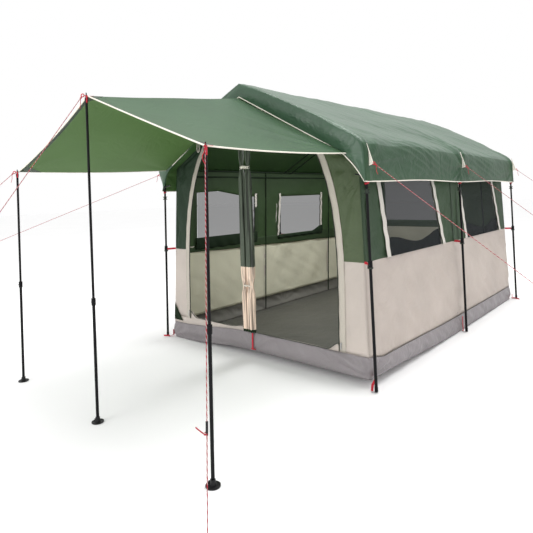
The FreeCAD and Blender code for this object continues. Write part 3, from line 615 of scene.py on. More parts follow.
def corner_patches():
    """Doubled cloth at the canopy's three front corners and along its front hems."""
    build = Build()
    for middle, reach in ((-1.0, 0.11), (1.0, 0.11), (0.0, 0.07)):
        for side in (-1, 1) if middle == 0 else (-middle,):
            t, w = lattice(9, 9)
            v = 1.0 - t * reach * 1.1
            u = middle + side * w * reach * (1 - t)
            for offset in (0.0012, -0.0026):
                build.grid(canopy_points(u, v) + (0, 0, offset))
    for side in (-1, 1):
        v, u = lattice(3, 60)
        for offset in (0.0010, -0.0024):
            build.grid(canopy_points(side * (0.012 + 0.98 * u), 1.0 - 0.016 * v) + (0, 0, offset))
        corner = canopy_points(np.array([side * 0.97]), np.array([0.99]))[0] - (0, 0, 0.004)
        spigot = np.array((side * 1.101, CANOPY_FRONT - 0.013, CANOPY_EDGE_Z[1] - 0.003))
        reach = np.linspace(0, 1, 8)[:, None]
        build.along(corner + (spigot - corner) * reach, circle(0.0055, 8))
    trim("canopy_patches", build, [PATCH_GREEN])


def hem_path(side):
    ys = np.linspace(FRONT_Y, REAR_Y, 60)
    z = HEM_Z - 0.003 + HEM_LIFT * between_frames(ys)
    return join(side * HEM_X, ys, z)


def piping_lines():
    """Every run of piping as (path, section's up direction)."""
    # The front edge's piping runs a little higher between its ends and stops short of the left corner
    for y in (FRONT_Y - 0.004, REAR_Y + 0.003):
        edge = both_halves(visor_edge())
        rise = 0.011 * ease((1.04 - np.abs(edge[:, 0])) / 0.05) if y < 0 else 0.0
        path = join(edge[:, 0], y, edge[:, 1] - 0.003 + rise)
        yield left_corner(path[edge[:, 0] > -0.94] if y < 0 else path)
    for side in (-1, 1):
        yield left_corner(hem_path(side))
        v = np.linspace(0, 1, 50)
        points = canopy_points(np.full_like(v, float(side)), v)
        yield points + np.array((side * 0.003, 0, 0.0))
        u = np.linspace(0.0, 1.0, 60)
        yield canopy_points(side * u, np.ones_like(u)) + np.array((0, -0.004, 0.0))


def piping():
    build = Build()
    for path in piping_lines():
        flat = abs(path[0, 1] - path[-1, 1]) < 0.01
        build.along(path, circle(PIPE_R, 8), up=(0, 1, 0) if flat else (0, 0, 1))
    trim("piping_cord", build, [CREAM], ["piping"])


# ---- Walls ---------------------------------------------------------------------------
def wall_x(z):
    return WALL_FOOT_X - WALL_LEAN * z


def front_y(z):
    return FRONT_FOOT_Y + END_LEAN * z


def rear_y(z):
    return REAR_FOOT_Y - END_LEAN * z


def on_front(points, out):
    """Carries (x, z) points onto the front wall, so far in front of it."""
    x, z = np.moveaxis(points, -1, 0)
    return join(x, front_y(z) - out, z)


def tub_lift(x, y):
    """How far the tub's lower edge is drawn up, most in the middle and right of its front."""
    along = 0.060 * ease((x + 1.0) / 0.95)
    reach = 0.25 + 1.50 * ease((x - 0.98) / 0.10)
    return along * ease(1 - (y - FRONT_FOOT_Y) / reach)


def tub_top_lift(x, y):
    """The same for its upper edge, which stays lower along the right side."""
    side = ease((x - 0.98) / 0.10) * ease((y - FRONT_FOOT_Y - 0.02) / 0.20)
    return tub_lift(x, y) * (1 - 0.6 * side)


def gable_half(z):
    """Half width of the end walls at a height."""
    return np.maximum(np.minimum(wall_x(z), (INNER_TOP_Z - z) / INNER_SLOPE), 0.0)


def spread(*counts):
    """Numbers from 0 up, with so many even steps between each whole number and the next."""
    parts = [np.linspace(k, k + 1, n, endpoint=False) for k, n in enumerate(counts)]
    return np.concatenate([*parts, [float(len(counts))]])


def window_top(side, y):
    """Upper edge of the windows; on the left wall it sags."""
    if side > 0:
        return np.full_like(y, WINDOW_TOP_Z)
    return np.interp(y, (-0.75, -0.45, -0.10, 0.15, 0.60, 1.50), (1.447, 1.460, 1.405, 1.385, 1.380, 1.385))


def side_grid(side, rows, cols):
    """Points of a side wall for row numbers 0 to 3 and column numbers 0 to 5."""
    (a0, b0, a1, b1), (c0, d0, c1, d1) = WINDOWS[side]
    low = np.interp(cols, range(6), (0.0, a0, b0, c0, d0, 0.0))
    high = np.interp(cols, range(6), (0.0, a1, b1, c1, d1, 0.0))
    lean = np.clip(rows - 1, 0, 1)
    inner = low * (1 - lean) + high * lean
    flat_z = np.interp(rows, range(4), (BAND_H, BELT_Z, WINDOW_TOP_Z, WALL_TOP_Z))
    ends = np.clip(cols, 0, 1), np.clip(cols - 4, 0, 1)
    first = (a0 + (a1 - a0) * lean) * ends[0] + front_y(flat_z) * (1 - ends[0])
    last = (d0 + (d1 - d0) * lean) * (1 - ends[1]) + rear_y(flat_z) * ends[1]
    y = np.where(cols < 1, first, np.where(cols > 4, last, inner))
    top = window_top(side, y)
    z = np.interp(rows, (0, 1), (BAND_H, BELT_Z))
    z = np.where(rows > 1, BELT_Z + (top - BELT_Z) * np.clip(rows - 1, 0, 1), z)
    z = np.where(rows > 2, top + (WALL_TOP_Z - top) * (rows - 2), z)
    return join(side * wall_x(z), y, z)


def wall_relief(a, z, seed, corners):
    """How far a wall stands out: slack belly, broad diagonal folds and pulled corners."""
    belly = 0.010 * np.sin(math.pi * np.clip((z - BAND_H) / (BELT_Z - BAND_H), 0, 1))
    lift = belly + swell(a + 0.6 * z, a - z, seed, 0.010, 0.75) + swell(a + 0.8 * z, z, seed + 1, 0.004, 0.26)
    for anchor, depth in corners:
        lift = lift + pull_folds(a, z, anchor, 8, depth, 0.32, anchor[0])
    return lift


def side_wall(side, name, node):
    rows = spread(26, 26, 8)
    cols = spread(12, 34, 18, 34, 14)
    r, c = lattice(rows, cols)
    points = side_grid(side, r, c)
    corners = [((y, z), depth) for z, depth in ((BELT_Z, 0.005), (BAND_H, 0.006)) for y in FRAMES_Y]
    lift = wall_relief(points[..., 1], points[..., 2], 31 + side, corners)
    slant = (points[..., 2] + 0.62 * points[..., 1]) / 0.19 + 0.5 * np.sin(3.3 * points[..., 1])
    fold = 0.011 if side > 0 else 0.004
    lift += fold * (1 - np.abs(np.sin(math.pi * slant))) * ease((BELT_Z - points[..., 2]) / 0.15)
    rim = ease(np.minimum(c, 5 - c) / 0.25) * ease(r / 0.06) * ease((3 - r) / 0.2)
    frames = (c - 1) * (2 - c), (c - 3) * (4 - c)
    calm = 1 - 0.8 * ((frames[0] > -0.1) | (frames[1] > -0.1)) * (r > 0.93) * (r < 2.1)
    points[..., 0] += side * lift * rim * calm
    above = (points[..., 2] - BAND_H) / (BELT_Z - BAND_H)
    points[..., 2] += tub_top_lift(points[..., 0], points[..., 1]) * np.clip(1 - above, 0, 1)

    def mark(i, j):
        if rows[i] >= 0.999 and rows[i] < 1.999 and int(cols[j] + 1e-6) in (1, 3):
            return None
        return 2 if rows[i] < 0.999 else 0

    # The side walls' beige part takes the darker copy: painted shade.
    pairs = [WALL_GREEN, WALL_GREEN_IN, SIDE_BEIGE_PAINTED_SHADE, WALL_BEIGE_IN]
    cloth(name, Build(points, mark), pairs, nodes=[node])


def wall_seams():
    """Flat seams up the side walls; those on the right stop at the belt."""
    build = Build()
    zs = np.unique(np.concatenate([np.linspace(BAND_H + 0.07, WALL_TOP_Z - 0.01, 60), [BELT_Z]]))
    for side, ys in ((-1, (-0.955, 0.33, 1.69)), (1, (-0.955, 0.700, 0.845))):
        for y in ys:
            z = zs if side < 0 else zs[zs >= BELT_Z]
            path = join(side * (wall_x(z) + 0.007), y, z)
            build.along(path, ribbon(0.022, 0.002)[:, ::-1], lambda i, j, z=z: int(z[i] < BELT_Z - 1e-4),
                        up=(0, 1, 0))
    trim("wall_seam_tapes", build, [WALL_GREEN, WALL_BEIGE])


def window_grid(side, index, rows, cols, inset):
    """Points over one window, moved outwards by inset."""
    r, c = lattice(rows, cols)
    points = side_grid(side, 1.0 + r, 1.0 + 2.0 * index + c)
    points[..., 0] += side * inset
    return points


def window_nets():
    build = Build()
    for side, index in PANES:
        points = window_grid(side, index, np.linspace(0, 1, 12), np.linspace(0, 1, 18), -0.004)
        points[..., 0] += swell(points[..., 1], points[..., 2], 41 + index, 0.002, 0.4)
        build.grid(points)
    xs, zs = np.linspace(-1, 1, 22) * REAR_WINDOW_X, np.linspace(*REAR_WINDOW_Z, 12)
    z, x = lattice(zs, xs)
    build.grid(join(x, rear_y(z) - 0.003, z))
    obj = build.piece("window_nets", [SCREEN])
    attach(obj, "root")
    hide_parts("window_mesh")


def window_trims():
    """Cream strips beside each window, outside and inside."""
    build = Build()
    rows = np.linspace(0.0, 1.12, 40)
    for side, index in PANES:
        for end in (0.0, 1.0):
            beyond = 1.0 if end else -1.0
            for width, offset in ((0.054, 0.010), (0.026, -0.006)):
                inside_first = side < 0 and index == 0 and offset < 0
                if inside_first and not end:
                    continue
                levels = rows[26:] if inside_first else rows
                edge = window_grid(side, index, levels, np.array([end]), 0.0)
                x, y, z = np.moveaxis(edge, -1, 0)
                wave = 0.003 * np.sin(levels * 23 + index * 2 + end)[:, None]
                x = x + side * (offset + 0.0015 * np.sin(levels * 31)[:, None])
                build.grid(join(x, y + beyond * (np.linspace(-0.006, width, 6) + wave), z))
    thicken(trim("window_tapes", build, [PALE_TAPE]))


def curtain_top(side, index, cols):
    """Height of a let-down curtain's upper edge, across its window."""
    if side > 0:
        return BELT_Z + 0.112 + 0.030 * np.cos(2 * math.pi * cols) + 0.012 * np.sin(7 * cols)
    if index == 0:
        return np.full_like(cols, 0.972)
    return 0.893 + 0.070 * ease((cols - 0.72) / 0.28)


def window_curtains():
    """Curtains let down inside, gathered along the bottom of each window."""
    build = Build()
    for side, index in PANES:
        cols = np.linspace(-0.03, 1.03, 60)
        place = side_grid(side, np.full_like(cols, 1.1), 1.0 + 2 * index + np.clip(cols, 0, 1))
        y = place[:, 1] + np.where(cols < 0, cols, np.maximum(cols - 1, 0))
        top, low = curtain_top(side, index, cols), BELT_Z - 0.04
        w = np.linspace(1.0, 0.0, 14)[:, None]
        z = low + (top - low) * w
        fold = 0.006 * np.sin(34 * cols + 3 * w) * (1 - 0.6 * w)
        stand = 0.014 + fold + 0.010 * np.sin(math.pi * w)
        build.grid(join(side * (wall_x(z) - stand), y, z))
    cloth("window_curtains", build, [CURTAIN, CURTAIN])


def inner_skirt():
    """Green strip that hangs inside the left wall over the seam to its beige part."""
    ys = np.linspace(front_y(BELT_Z) + 0.02, rear_y(BELT_Z) - 0.02, 120)
    low = np.interp(ys, (-1.0, 2.45), (0.828, 0.748)) + 0.003 * np.sin(6 * ys)
    w, y = lattice(8, ys)
    z = BELT_Z + 0.010 - (BELT_Z + 0.010 - low[None]) * w
    x = -(wall_x(z) - 0.005 - 0.004 * w)
    cloth("inner_skirt", Build(join(x, y, z)), [WALL_GREEN_IN, WALL_GREEN_IN])


def arch_half_width(z):
    share = np.clip((z - ARCH_BASE_Z) / (ARCH_TOP_Z - ARCH_BASE_Z), 0.0, 1.0)
    return ARCH_HALF * (1 - share**ARCH_POWER) ** (1 / ARCH_POWER)


def arch_levels():
    """Heights up the doorway, closer together where the arch flattens."""
    straight = np.linspace(SILL_Z, ARCH_BASE_Z, 12, endpoint=False)
    turn = np.linspace(0.0, math.pi / 2, 44)
    curved = ARCH_BASE_Z + (ARCH_TOP_Z - ARCH_BASE_Z) * np.sin(turn) ** (2 / ARCH_POWER)
    levels = np.concatenate([straight, curved])
    nearest = np.argmin(np.abs(levels - BELT_Z))
    levels[nearest] = BELT_Z
    return levels


def sill_wave(x):
    """The doorstep's upper edge: level on the right, with a bump and a rise on the left."""
    bump = 0.020 * bell(x + 0.15, 0.07)
    return 0.004 + bump + 0.014 * ease(-x / 0.15) + 0.060 * ease((np.abs(x) - 0.75) / 0.11)


def front_relief(x, z):
    """Relief of the front wall, with strong folds from its pulled corners."""
    pulls = ((1.07, BELT_Z, 0.006), (1.09, BAND_H, 0.005), (1.04, 1.60, 0.007))
    corners = [((s * a, b), depth) for a, b, depth in pulls for s in (-1, 1)]
    fine = swell(1.4 * x - z, x + 0.5 * z, 57, 0.005, 0.24)
    for s in (-1, 1):
        fine = fine + pull_folds(x, z, (s * 1.09, 1.62), 15, 0.020, 0.50, 0.6 * s)
        fine = fine + pull_folds(x, z, (s * 1.09, BELT_Z), 12, 0.010, 0.30, 1.1 * s)
    return wall_relief(x, z, 51, corners) + fine * ease((z - BELT_Z) / 0.1)


def front_wall():
    build = Build()
    levels = arch_levels()
    crown = np.linspace(ARCH_TOP_Z, INNER_TOP_Z, 6)[1:]
    levels = np.concatenate([levels, crown])
    share = np.linspace(0.0, 1.0, 16)
    for side in (-1, 1):
        z, t = lattice(levels, share)
        inner, outer = arch_half_width(z), gable_half(z)
        x = side * (inner + (outer - inner) * t)
        rim = ease((t * (outer - inner) - 0.045) / 0.06) * ease((1 - t) / 0.12)
        y = front_y(z) - front_relief(x, z) * rim
        # The left panel above the belt takes the darker green: painted shadow of the canopy.
        green = 0 if side > 0 else 4
        build.grid(join(x, y, z)[:, ::side],
                   lambda i, j, green=green: 2 if levels[i] < BELT_Z - 1e-4 else green)
    xs = np.linspace(-1, 1, 120)
    w, u = lattice(8, xs)
    x = u * gable_half(SILL_Z)
    top = SILL_Z + sill_wave(x) * (np.abs(x) < ARCH_HALF)
    low = BAND_H - 0.012 + tub_top_lift(x, FRONT_FOOT_Y + 0 * x)
    z = low + (np.maximum(top, low + 0.006) - low) * w
    y = front_y(z) - 0.004 * np.sin(9 * x) * w - 0.002 * w
    build.grid(join(x, y, z), 2)
    pairs = [FRONT_GREEN, WALL_GREEN_IN, WALL_BEIGE, WALL_BEIGE_IN, LEFT_FRONT_PAINTED_SHADE, WALL_GREEN_IN]
    cloth("front_wall", build, pairs, nodes=["wall_front"])


def arch_path(offset):
    """The doorway's edge, left sill to right sill, moved into the wall by offset."""
    turn = np.linspace(0.0, math.pi, 120)
    x = -ARCH_HALF * np.sign(np.cos(turn)) * np.abs(np.cos(turn)) ** (2 / ARCH_POWER)
    z = ARCH_BASE_Z + (ARCH_TOP_Z - ARCH_BASE_Z) * np.sin(turn) ** (2 / ARCH_POWER)
    legs = np.linspace(SILL_Z, ARCH_BASE_Z, 14, endpoint=False)
    left = join(-ARCH_HALF, legs)
    edge = np.concatenate([left, join(x, z), left[::-1] * (-1, 1)])
    edge = resample(edge, 160)
    tangent = unit(np.gradient(edge, axis=0))
    out = join(-tangent[:, 1], tangent[:, 0])
    return edge + out * offset


def door_trims():
    """Cream facing round the doorway, with the zip along its inner edge."""
    offsets = np.linspace(-0.004, 0.052, 6)
    strip = on_front(np.array([arch_path(offset) for offset in offsets]), 0.005)
    strip[..., 1] -= 0.0015 * np.sin(strip[..., 2] * 37 + strip[..., 0] * 9)
    thicken(trim("door_facing", Build(strip), [FACING]))
    zips = Build()
    zips.along(on_front(arch_path(-0.006), 0.006), ribbon(0.004, 0.009), up=(0, 1, 0))
    step = np.linspace(-ARCH_HALF, ARCH_HALF, 90)
    sill = join(step, front_y(SILL_Z) - 0.012, SILL_Z + sill_wave(step))
    zips.along(sill, ribbon(0.009, 0.004))
    trim("door_zip", zips, [DARK_TAPE])


def rear_wall():
    keys = (BAND_H, BELT_Z, REAR_WINDOW_Z[0], REAR_WINDOW_Z[1], WALL_TOP_Z, INNER_TOP_Z - 0.004)
    rows = spread(20, 4, 16, 4, 16)
    cols = spread(14, 26, 14)
    r, c = lattice(rows, cols)
    z = np.interp(r, range(6), keys)
    half = gable_half(z)
    inner = np.minimum(REAR_WINDOW_X, half * 0.6)
    x = np.where(c < 1, -half + (half - inner) * c, np.where(c > 2, inner + (half - inner) * (c - 2), 0))
    x = np.where((c >= 1) & (c <= 2), inner * (2 * c - 3), x)
    lift = wall_relief(x, z, 61, [((s * 1.07, BELT_Z), 0.006) for s in (-1, 1)])
    y = rear_y(z) + np.clip(lift, -0.012, 0.012) * ease(np.minimum(c, 3 - c) / 0.2)

    def mark(i, j):
        if 2 <= rows[i] < 2.999 and 1 <= cols[j] < 1.999:
            return None
        return 2 if rows[i] < 0.999 else 0

    pairs = [WALL_GREEN, WALL_GREEN_IN, WALL_BEIGE, WALL_BEIGE_IN]
    cloth("back_wall", Build(join(x, y, z), mark), pairs, nodes=["wall_rear"])


def inner_roof():
    ys = np.linspace(front_y(WALL_TOP_Z) + 0.004, rear_y(WALL_TOP_Z) - 0.004, 110)
    half = wall_x(WALL_TOP_Z) - 0.003
    xs = np.linspace(-half, half, 81)
    y, x = lattice(ys, xs)
    z = INNER_TOP_Z - INNER_SLOPE * np.abs(x)
    edge = np.minimum(half - np.abs(x), np.abs(x)) / half
    z = z - 0.020 * between_frames(y) * ease(edge * 3) + swell(x, y, 71, 0.004, 0.5) * ease(edge * 4)
    cloth("inner_roof_sheet", Build(join(x, y, z)), [ROOF_IN, ROOF_IN],
          nodes=["inner_roof"])


def inner_seams():
    """Dark binding inside: down the left wall, along the eaves and under the middle rafters."""
    build = Build()
    flat = ribbon(0.016, 0.003)
    for side, ys in ((-1, (0.33, 1.69)), (1, (0.70, 1.69))):
        for y in ys:
            zs = np.linspace(0.012, WALL_TOP_Z - 0.01, 30)
            path = join(side * (wall_x(zs) - 0.012), y, zs)
            build.along(path, flat[:, ::-1], up=(1, 0, 0))
        ys_line = np.linspace(front_y(WALL_TOP_Z) + 0.02, rear_y(WALL_TOP_Z) - 0.02, 40)
        for z in (WALL_TOP_Z - 0.012, WALL_TOP_Z - 0.075):
            build.along(join(side * (wall_x(z) - 0.012), ys_line, z), flat[:, ::-1])
        for y in (0.66, 0.80):
            xs = np.linspace(0.01, wall_x(WALL_TOP_Z) - 0.02, 24)
            zs = INNER_TOP_Z - INNER_SLOPE * xs - 0.034
            path = join(side * xs, y, zs)
            build.along(path, ribbon(0.028, 0.003), up=(0, 0, 1))
    trim("inner_bindings", build, [CURTAIN])


# ---- Groundsheet ---------------------------------------------------------------------
def band_outline(z, count):
    """Closed outline of the tub at a height, with its corners rounded."""
    x, y0, y1, round_r = wall_x(z), front_y(z), rear_y(z), 0.03
    corners = [(x, y0, -90), (x, y1, 0), (-x, y1, 90), (-x, y0, 180)]
    loop = []
    for cx, cy, start in corners:
        inset = (cx - math.copysign(round_r, cx), cy - math.copysign(round_r, cy - 0.7))
        for a in np.linspace(start, start + 90, 7):
            angle = math.radians(a)
            loop.append((inset[0] + round_r * math.cos(angle), inset[1] + round_r * math.sin(angle)))
    return resample(loop + loop[:1], count + 1)[:-1]


def ground_band():
    count = 900
    zs = np.linspace(0.001, BAND_H + 0.004, 14)
    points = np.array([[(x, y, z) for x, y in band_outline(z, count)] for z in zs])
    x, y, z = points[..., 0], points[..., 1], points[..., 2]
    share = z / BAND_H
    rise = tub_lift(x, y) * (1 - share) + tub_top_lift(x, y) * share
    around = np.where(np.abs(x) > wall_x(0.1) - 0.04, y, x)
    lift = 0.012 * np.sin(math.pi * np.clip(share, 0, 1)) + swell(around + 1.5 * z, z, 81, 0.007, 0.26)
    anchors = [(s * 1.11, fy) for s in (-1, 1) for fy in (FRONT_FOOT_Y, FRAMES_Y[1], REAR_FOOT_Y)]
    anchors.append((-0.005, FRONT_FOOT_Y))
    for ax, ay in anchors:
        far = np.hypot(x - ax, y - ay)
        angle = np.arctan2(z - 0.02, far)
        depth = (0.020 if ax > 0 and ay < 0 else 0.011) * (0.35 if ay == FRAMES_Y[1] else 1.0)
        lift += depth * np.sin(13 * angle + 2 * ax) * np.exp(-far / 0.42) * far / (far + 0.04)
    lift *= ease(share * 5) * ease((1.03 - share) * 6)
    lift += 0.009 * ease(share * 2)
    half_wide, half_long, squareness = 1.10, 1.77, 7
    outward = unit(join(x / half_wide, (y - FRAMES_Y[1]) / half_long) ** squareness)
    points[..., 0] += outward[..., 0] * (lift + 0.3 * END_LEAN * rise)
    points[..., 1] += outward[..., 1] * lift
    points[..., 2] += rise
    cloth("ground_band", Build(points, wrap=True), [BAND_GREY, BAND_IN])


def ground_floor():
    ys, xs = np.linspace(FRONT_FOOT_Y + 0.002, REAR_FOOT_Y - 0.002, 120), np.linspace(-1, 1, 81)
    y, u = lattice(ys, xs)
    x = u * (WALL_FOOT_X - 0.003)
    lift = swell(x, y, 91, 0.006, 0.55) + swell(x + y, x - y, 92, 0.003, 0.22)
    z = 0.0035 + np.maximum(lift, 0.0) * ease((1 - np.abs(u)) / 0.05) + tub_lift(x, y)
    cloth("ground_floor", Build(join(x, y, z)), [FLOOR_GREY, BAND_GREY],
          ["groundsheet"], inside=(0, 0.7, -1.0))


# ---- Rolled door curtains ------------------------------------------------------------
ROLL_Y, ROLL_LOW, ROLL_HIGH, ROLL_SPLIT_Z = -1.076, 0.232, 1.960, 0.790
TIES_Z = (0.626, 1.640)


def roll_scale(z):
    """Pinched where it is tied, fuller between."""
    pinch = sum(depth * bell(z - t, 0.055) for t, depth in zip(TIES_Z, (0.40, 0.42)))
    swelling = 0.92 + 0.08 * math.sin((z - ROLL_LOW) * 3.2)
    return swelling * (1 - pinch) * (0.80 if z > TIES_Z[1] else 1.0)


def roll_section(z, twist):
    """Layered cloth: a round with fold ridges that wander along the roll."""
    angle = np.linspace(0, 2 * math.pi, 48, endpoint=False)
    folds = 0.07 * np.sin(2 * angle + twist) + 0.15 * np.sin(5 * angle + 1.6 * z + twist)
    folds += 0.08 * np.sin(9 * angle - 2.2 * z) - 0.26 * bell(angle - 4.4 + 0.25 * z, 0.13)
    radius = 0.0325 * roll_scale(z) * (1 + folds)
    return join(radius * np.cos(angle), radius * np.sin(angle))


def door_roll(name, x, twist, nodes):
    build = Build()
    zs = np.unique(np.concatenate([np.linspace(ROLL_LOW, ROLL_HIGH, 150), [ROLL_SPLIT_Z]]))
    lean = 0.006 * np.sin(2.3 * zs + twist) + 0.010 * (zs - 1.0) * math.copysign(1, twist)
    across, along = np.moveaxis(np.array([roll_section(z, twist) for z in zs]), -1, 0)
    rings = join(x + lean[:, None] + across, ROLL_Y + along, zs[:, None])
    build.tube(rings, lambda i, j: 2 if zs[i] < ROLL_LOW + 0.012 else int(zs[i] < ROLL_SPLIT_Z - 1e-6))
    obj = trim(name, build, [ROLL_GREEN, ROLL_BEIGE, CURTAIN], nodes)


def door_ties():
    """Cream bands round both rolls, each with a toggle and hanging ends."""
    build = Build()
    for z, width in zip(TIES_Z, (0.010, 0.020)):
        reach = 0.5 * roll_scale(z) + 0.5
        angle = np.linspace(0, 2 * math.pi, 60)
        x = -0.035 + 0.066 * reach * np.cos(angle)
        y = ROLL_Y + 0.036 * roll_scale(z) * np.sin(angle) * (1 + 0.3 * np.abs(np.cos(angle)))
        path = join(x, y, z + 0.004 * np.sin(3 * angle))
        build.along(path, ribbon(0.002, width))
        front = ROLL_Y - 0.036 * roll_scale(z) - 0.008
        knot = np.linspace(-0.016, 0.016, 9)
        path = join(knot - 0.035, front, z)
        build.along(path, circle(0.005, 10), scale=[0.6, 0.9, 1, 1, 1, 1, 1, 0.9, 0.6])
    trim("door_tie_bands", build, [CREAM], ["door_ties"])


# ---- Tabs, straps and loops ----------------------------------------------------------
def guy_tabs():
    """Triangular fins that take the guy lines' pull, sewn down the fly's sides."""
    build = Build()
    for side, y, z in TABS:
        top, low, tip = zip(TAB_X, (z + 0.140, z - 0.012, z + 0.001))
        s, t = lattice(10, 8)
        edge = np.array(top) * (1 - s[..., None]) + np.array(low) * s[..., None]
        x, zz = np.moveaxis(edge + (np.array(tip) - edge) * t[..., None] * 0.985, -1, 0)
        bow = 0.004 * np.sin(math.pi * s) * (1 - t)
        build.grid(join(side * x, y + bow, zz))
        rim = np.array([(side * a, y, b) for a, b in (top, tip, low)])
        build.along(resample(rim, 30), circle(0.0022, 6), up=(0, 1, 0))
    thicken(trim("tab_fins", build, [CREAM], ["guy_tabs"]), 0.0016)


def guy_loops():
    """Red webbing eyes, with the knot and the free tail of each line."""
    build = Build()
    for start, end in GUYS.values():
        a = np.array(start)
        ahead = unit(np.array(end) - a)
        side = unit(np.cross(ahead, (0, 0, 1.0)))
        up = np.cross(side, ahead)
        build.along(hoop(a, 0.010 * ahead, 0.008 * up, 22), ribbon(0.006, 0.0022), up=side)
        turn = np.linspace(0, 4.4 * math.pi, 46)
        coil = a + (0.013 + 0.012 * turn / turn[-1])[:, None] * ahead
        coil = coil + 0.0042 * (np.cos(turn)[:, None] * side + np.sin(turn)[:, None] * up)
        build.along(coil, circle(0.0019, 6), up=ahead)
        drop = np.linspace(0, 1, 14)
        tail = a + 0.024 * ahead + drop[:, None] * np.array((0, 0, -0.055))
        tail = tail + 0.014 * np.sin(3 * drop)[:, None] * side + 0.010 * (drop**2)[:, None] * ahead
        build.along(tail, circle(0.0018, 6), up=(0, 1, 0.2))
    trim("guy_loops", build, [RED_TAPE], ["guy_eyes"])


def leg_x(z):
    return LEG_FOOT_X - LEG_LEAN * z


def strap(build, points, width, up=(0, 0, 1), count=16, side=1):
    """A flat strap through points; side -1 carries them over to the left."""
    path = resample(np.array(points) * (side, 1, 1), count)
    build.along(path, ribbon(width, WEBBING_THICK), up=up)


def belt_straps():
    """Red webbing from the wall's belt to each leg, and dark loops on the leg there and at the hem."""
    build, rings = Build(), Build()
    wall, leg = wall_x(BELT_Z) + 0.002, leg_x(BELT_Z) - LEG_CLEAR
    hem = HEM_Z - 0.072
    for side, y in LEGS:
        near = min(max(y, front_y(BELT_Z)), rear_y(BELT_Z))
        strap(build, [(wall, near, BELT_Z + 0.002), (wall + 0.02, near, BELT_Z + 0.001),
                      (leg, y, BELT_Z - 0.001)], 0.020, up=(0, 1, 0), side=side)
        middle = (side * (leg + LEG_CLEAR), y, BELT_Z - 0.021)
        open_loop = hoop(middle, (-0.0185 * side, 0, 0), (0, 0.0185, 0), 26, 0.15 * math.pi, 1.85 * math.pi)
        rings.along(open_loop, ribbon(0.0018, 0.009))
        hem_loop = hoop((side * leg_x(hem), y, hem), (0.013, 0, 0), (0, 0.013, 0), 26)
        rings.along(hem_loop, ribbon(0.0022, 0.030))
        strap(rings, [(leg - 0.001, y, BELT_Z - 0.001), (leg - 0.0025, y, BELT_Z - 0.024)],
              0.012, up=(1, 0, 0), side=side)
    trim("belt_rings", rings, [DARK_TAPE])
    trim("belt_tapes", build, [RED_TAPE], ["belt_straps"])


def hem_hooks():
    """Red loops that tie the fly's hem to the legs."""
    build = Build()
    z = HEM_Z - 0.014
    for side, y in LEGS:
        loop = hoop((side * leg_x(z), y, z), (0.0122, 0, 0), (0, 0.0122, 0.004), 30)
        build.along(loop, ribbon(0.0018, 0.012))
        strap(build, [(leg_x(z) + 0.012, y, z), (HEM_X - 0.002, y, HEM_Z + 0.004)],
              0.014, up=(0, 0.3, 1), side=side)
    trim("hem_loops", build, [RED_TAPE], ["corner_hooks"])


def foot_straps():
    """Red webbing from the foot of the walls to the ring of each pin."""
    build = Build()
    for side, y in LEGS:
        near = min(max(y, FRONT_FOOT_Y + 0.01), REAR_FOOT_Y - 0.01)
        low = 0.012 + float(tub_lift(np.array(side * WALL_FOOT_X), np.array(near)))
        high = low + (0.140 if y == FRAMES_Y[1] else 0.052)
        foot = wall_x(0.07) + 0.034
        points = [(foot, near, low + 0.02), (foot, near, low),
                  (PIN_X - 0.008, (near + y) / 2, 0.5 * low + 0.006), (PIN_X, y, 0.0075)]
        strap(build, points, 0.018, up=(0.3 * side, 0, 1), count=22, side=side)
        strap(build, [(foot, near, low - 0.004), (foot - 0.003, near, high)], 0.020,
              up=(side, 0, 0.05), side=side)
        if side < 0 or y == FRAMES_Y[2]:
            strap(build, [(PIN_X, y, 0.010), (PIN_X + 0.040, y - 0.012, 0.008),
                          (PIN_X + 0.075, y - 0.02, 0.004)], 0.018, up=(0, 1, 0.4), side=side)
    front = front_y(0.15) - 0.030
    strap(build, [(-0.005, front - 0.001, 0.078), (-0.005, front, 0.150), (-0.007, front + 0.004, 0.220)],
          0.018, up=(0, 1, 0))
    toggle = [(x, FRONT_FOOT_Y - 0.020, 0.082) for x in np.linspace(-0.030, 0.020, 8)]
    build.along(toggle, circle(0.0045, 10))
    trim("foot_tapes", build, [RED_TAPE], ["foot_straps"])


def pole_loops():
    """Red webbing loops of the canopy over the porch poles' spigots."""
    build = Build()
    for x, top in PORCH_TOPS:
        y = CANOPY_FRONT - 0.012
        loop = hoop((x, y, top + 0.004), (0.0085, 0, 0), (0, 0.0085, 0), 26)
        build.along(loop, ribbon(0.0022, 0.006))
        strap(build, [(x, y + 0.009, top + 0.004), (x * 0.995, CANOPY_FRONT + 0.035, top + 0.009)], 0.016)
        hang = [(x + 0.0095, y - 0.002, top + 0.002), (x + 0.011, y - 0.004, top - 0.022),
                (x + 0.010, y - 0.003, top - 0.040)]
        strap(build, hang, 0.010, up=(1, 0, 0))
    trim("pole_loop_tapes", build, [RED_TAPE], ["porch_loops"])


def small_details():
    """Beige tie loop above the doorway, and the vent at the left corner of the front wall."""
    build = Build()
    loop = hoop((-0.68, front_y(1.9) - 0.022, 1.87), (0.018, 0, 0), (0, 0, 0.040), 30)
    build.along(loop, ribbon(0.016, 0.005), up=(0, 1, 0))
    trim("tie_loop", build, [FACING])
    s, t = lattice(8, 8)
    z = BAND_H + 0.025 + 0.170 * s
    x = -(wall_x(z) - 0.002) + 0.130 * (1 - s) * t
    vent = join(x, front_y(z) - 0.007 - 0.006 * s * t, z)
    thicken(trim("corner_vent", Build(vent), [CURTAIN]))


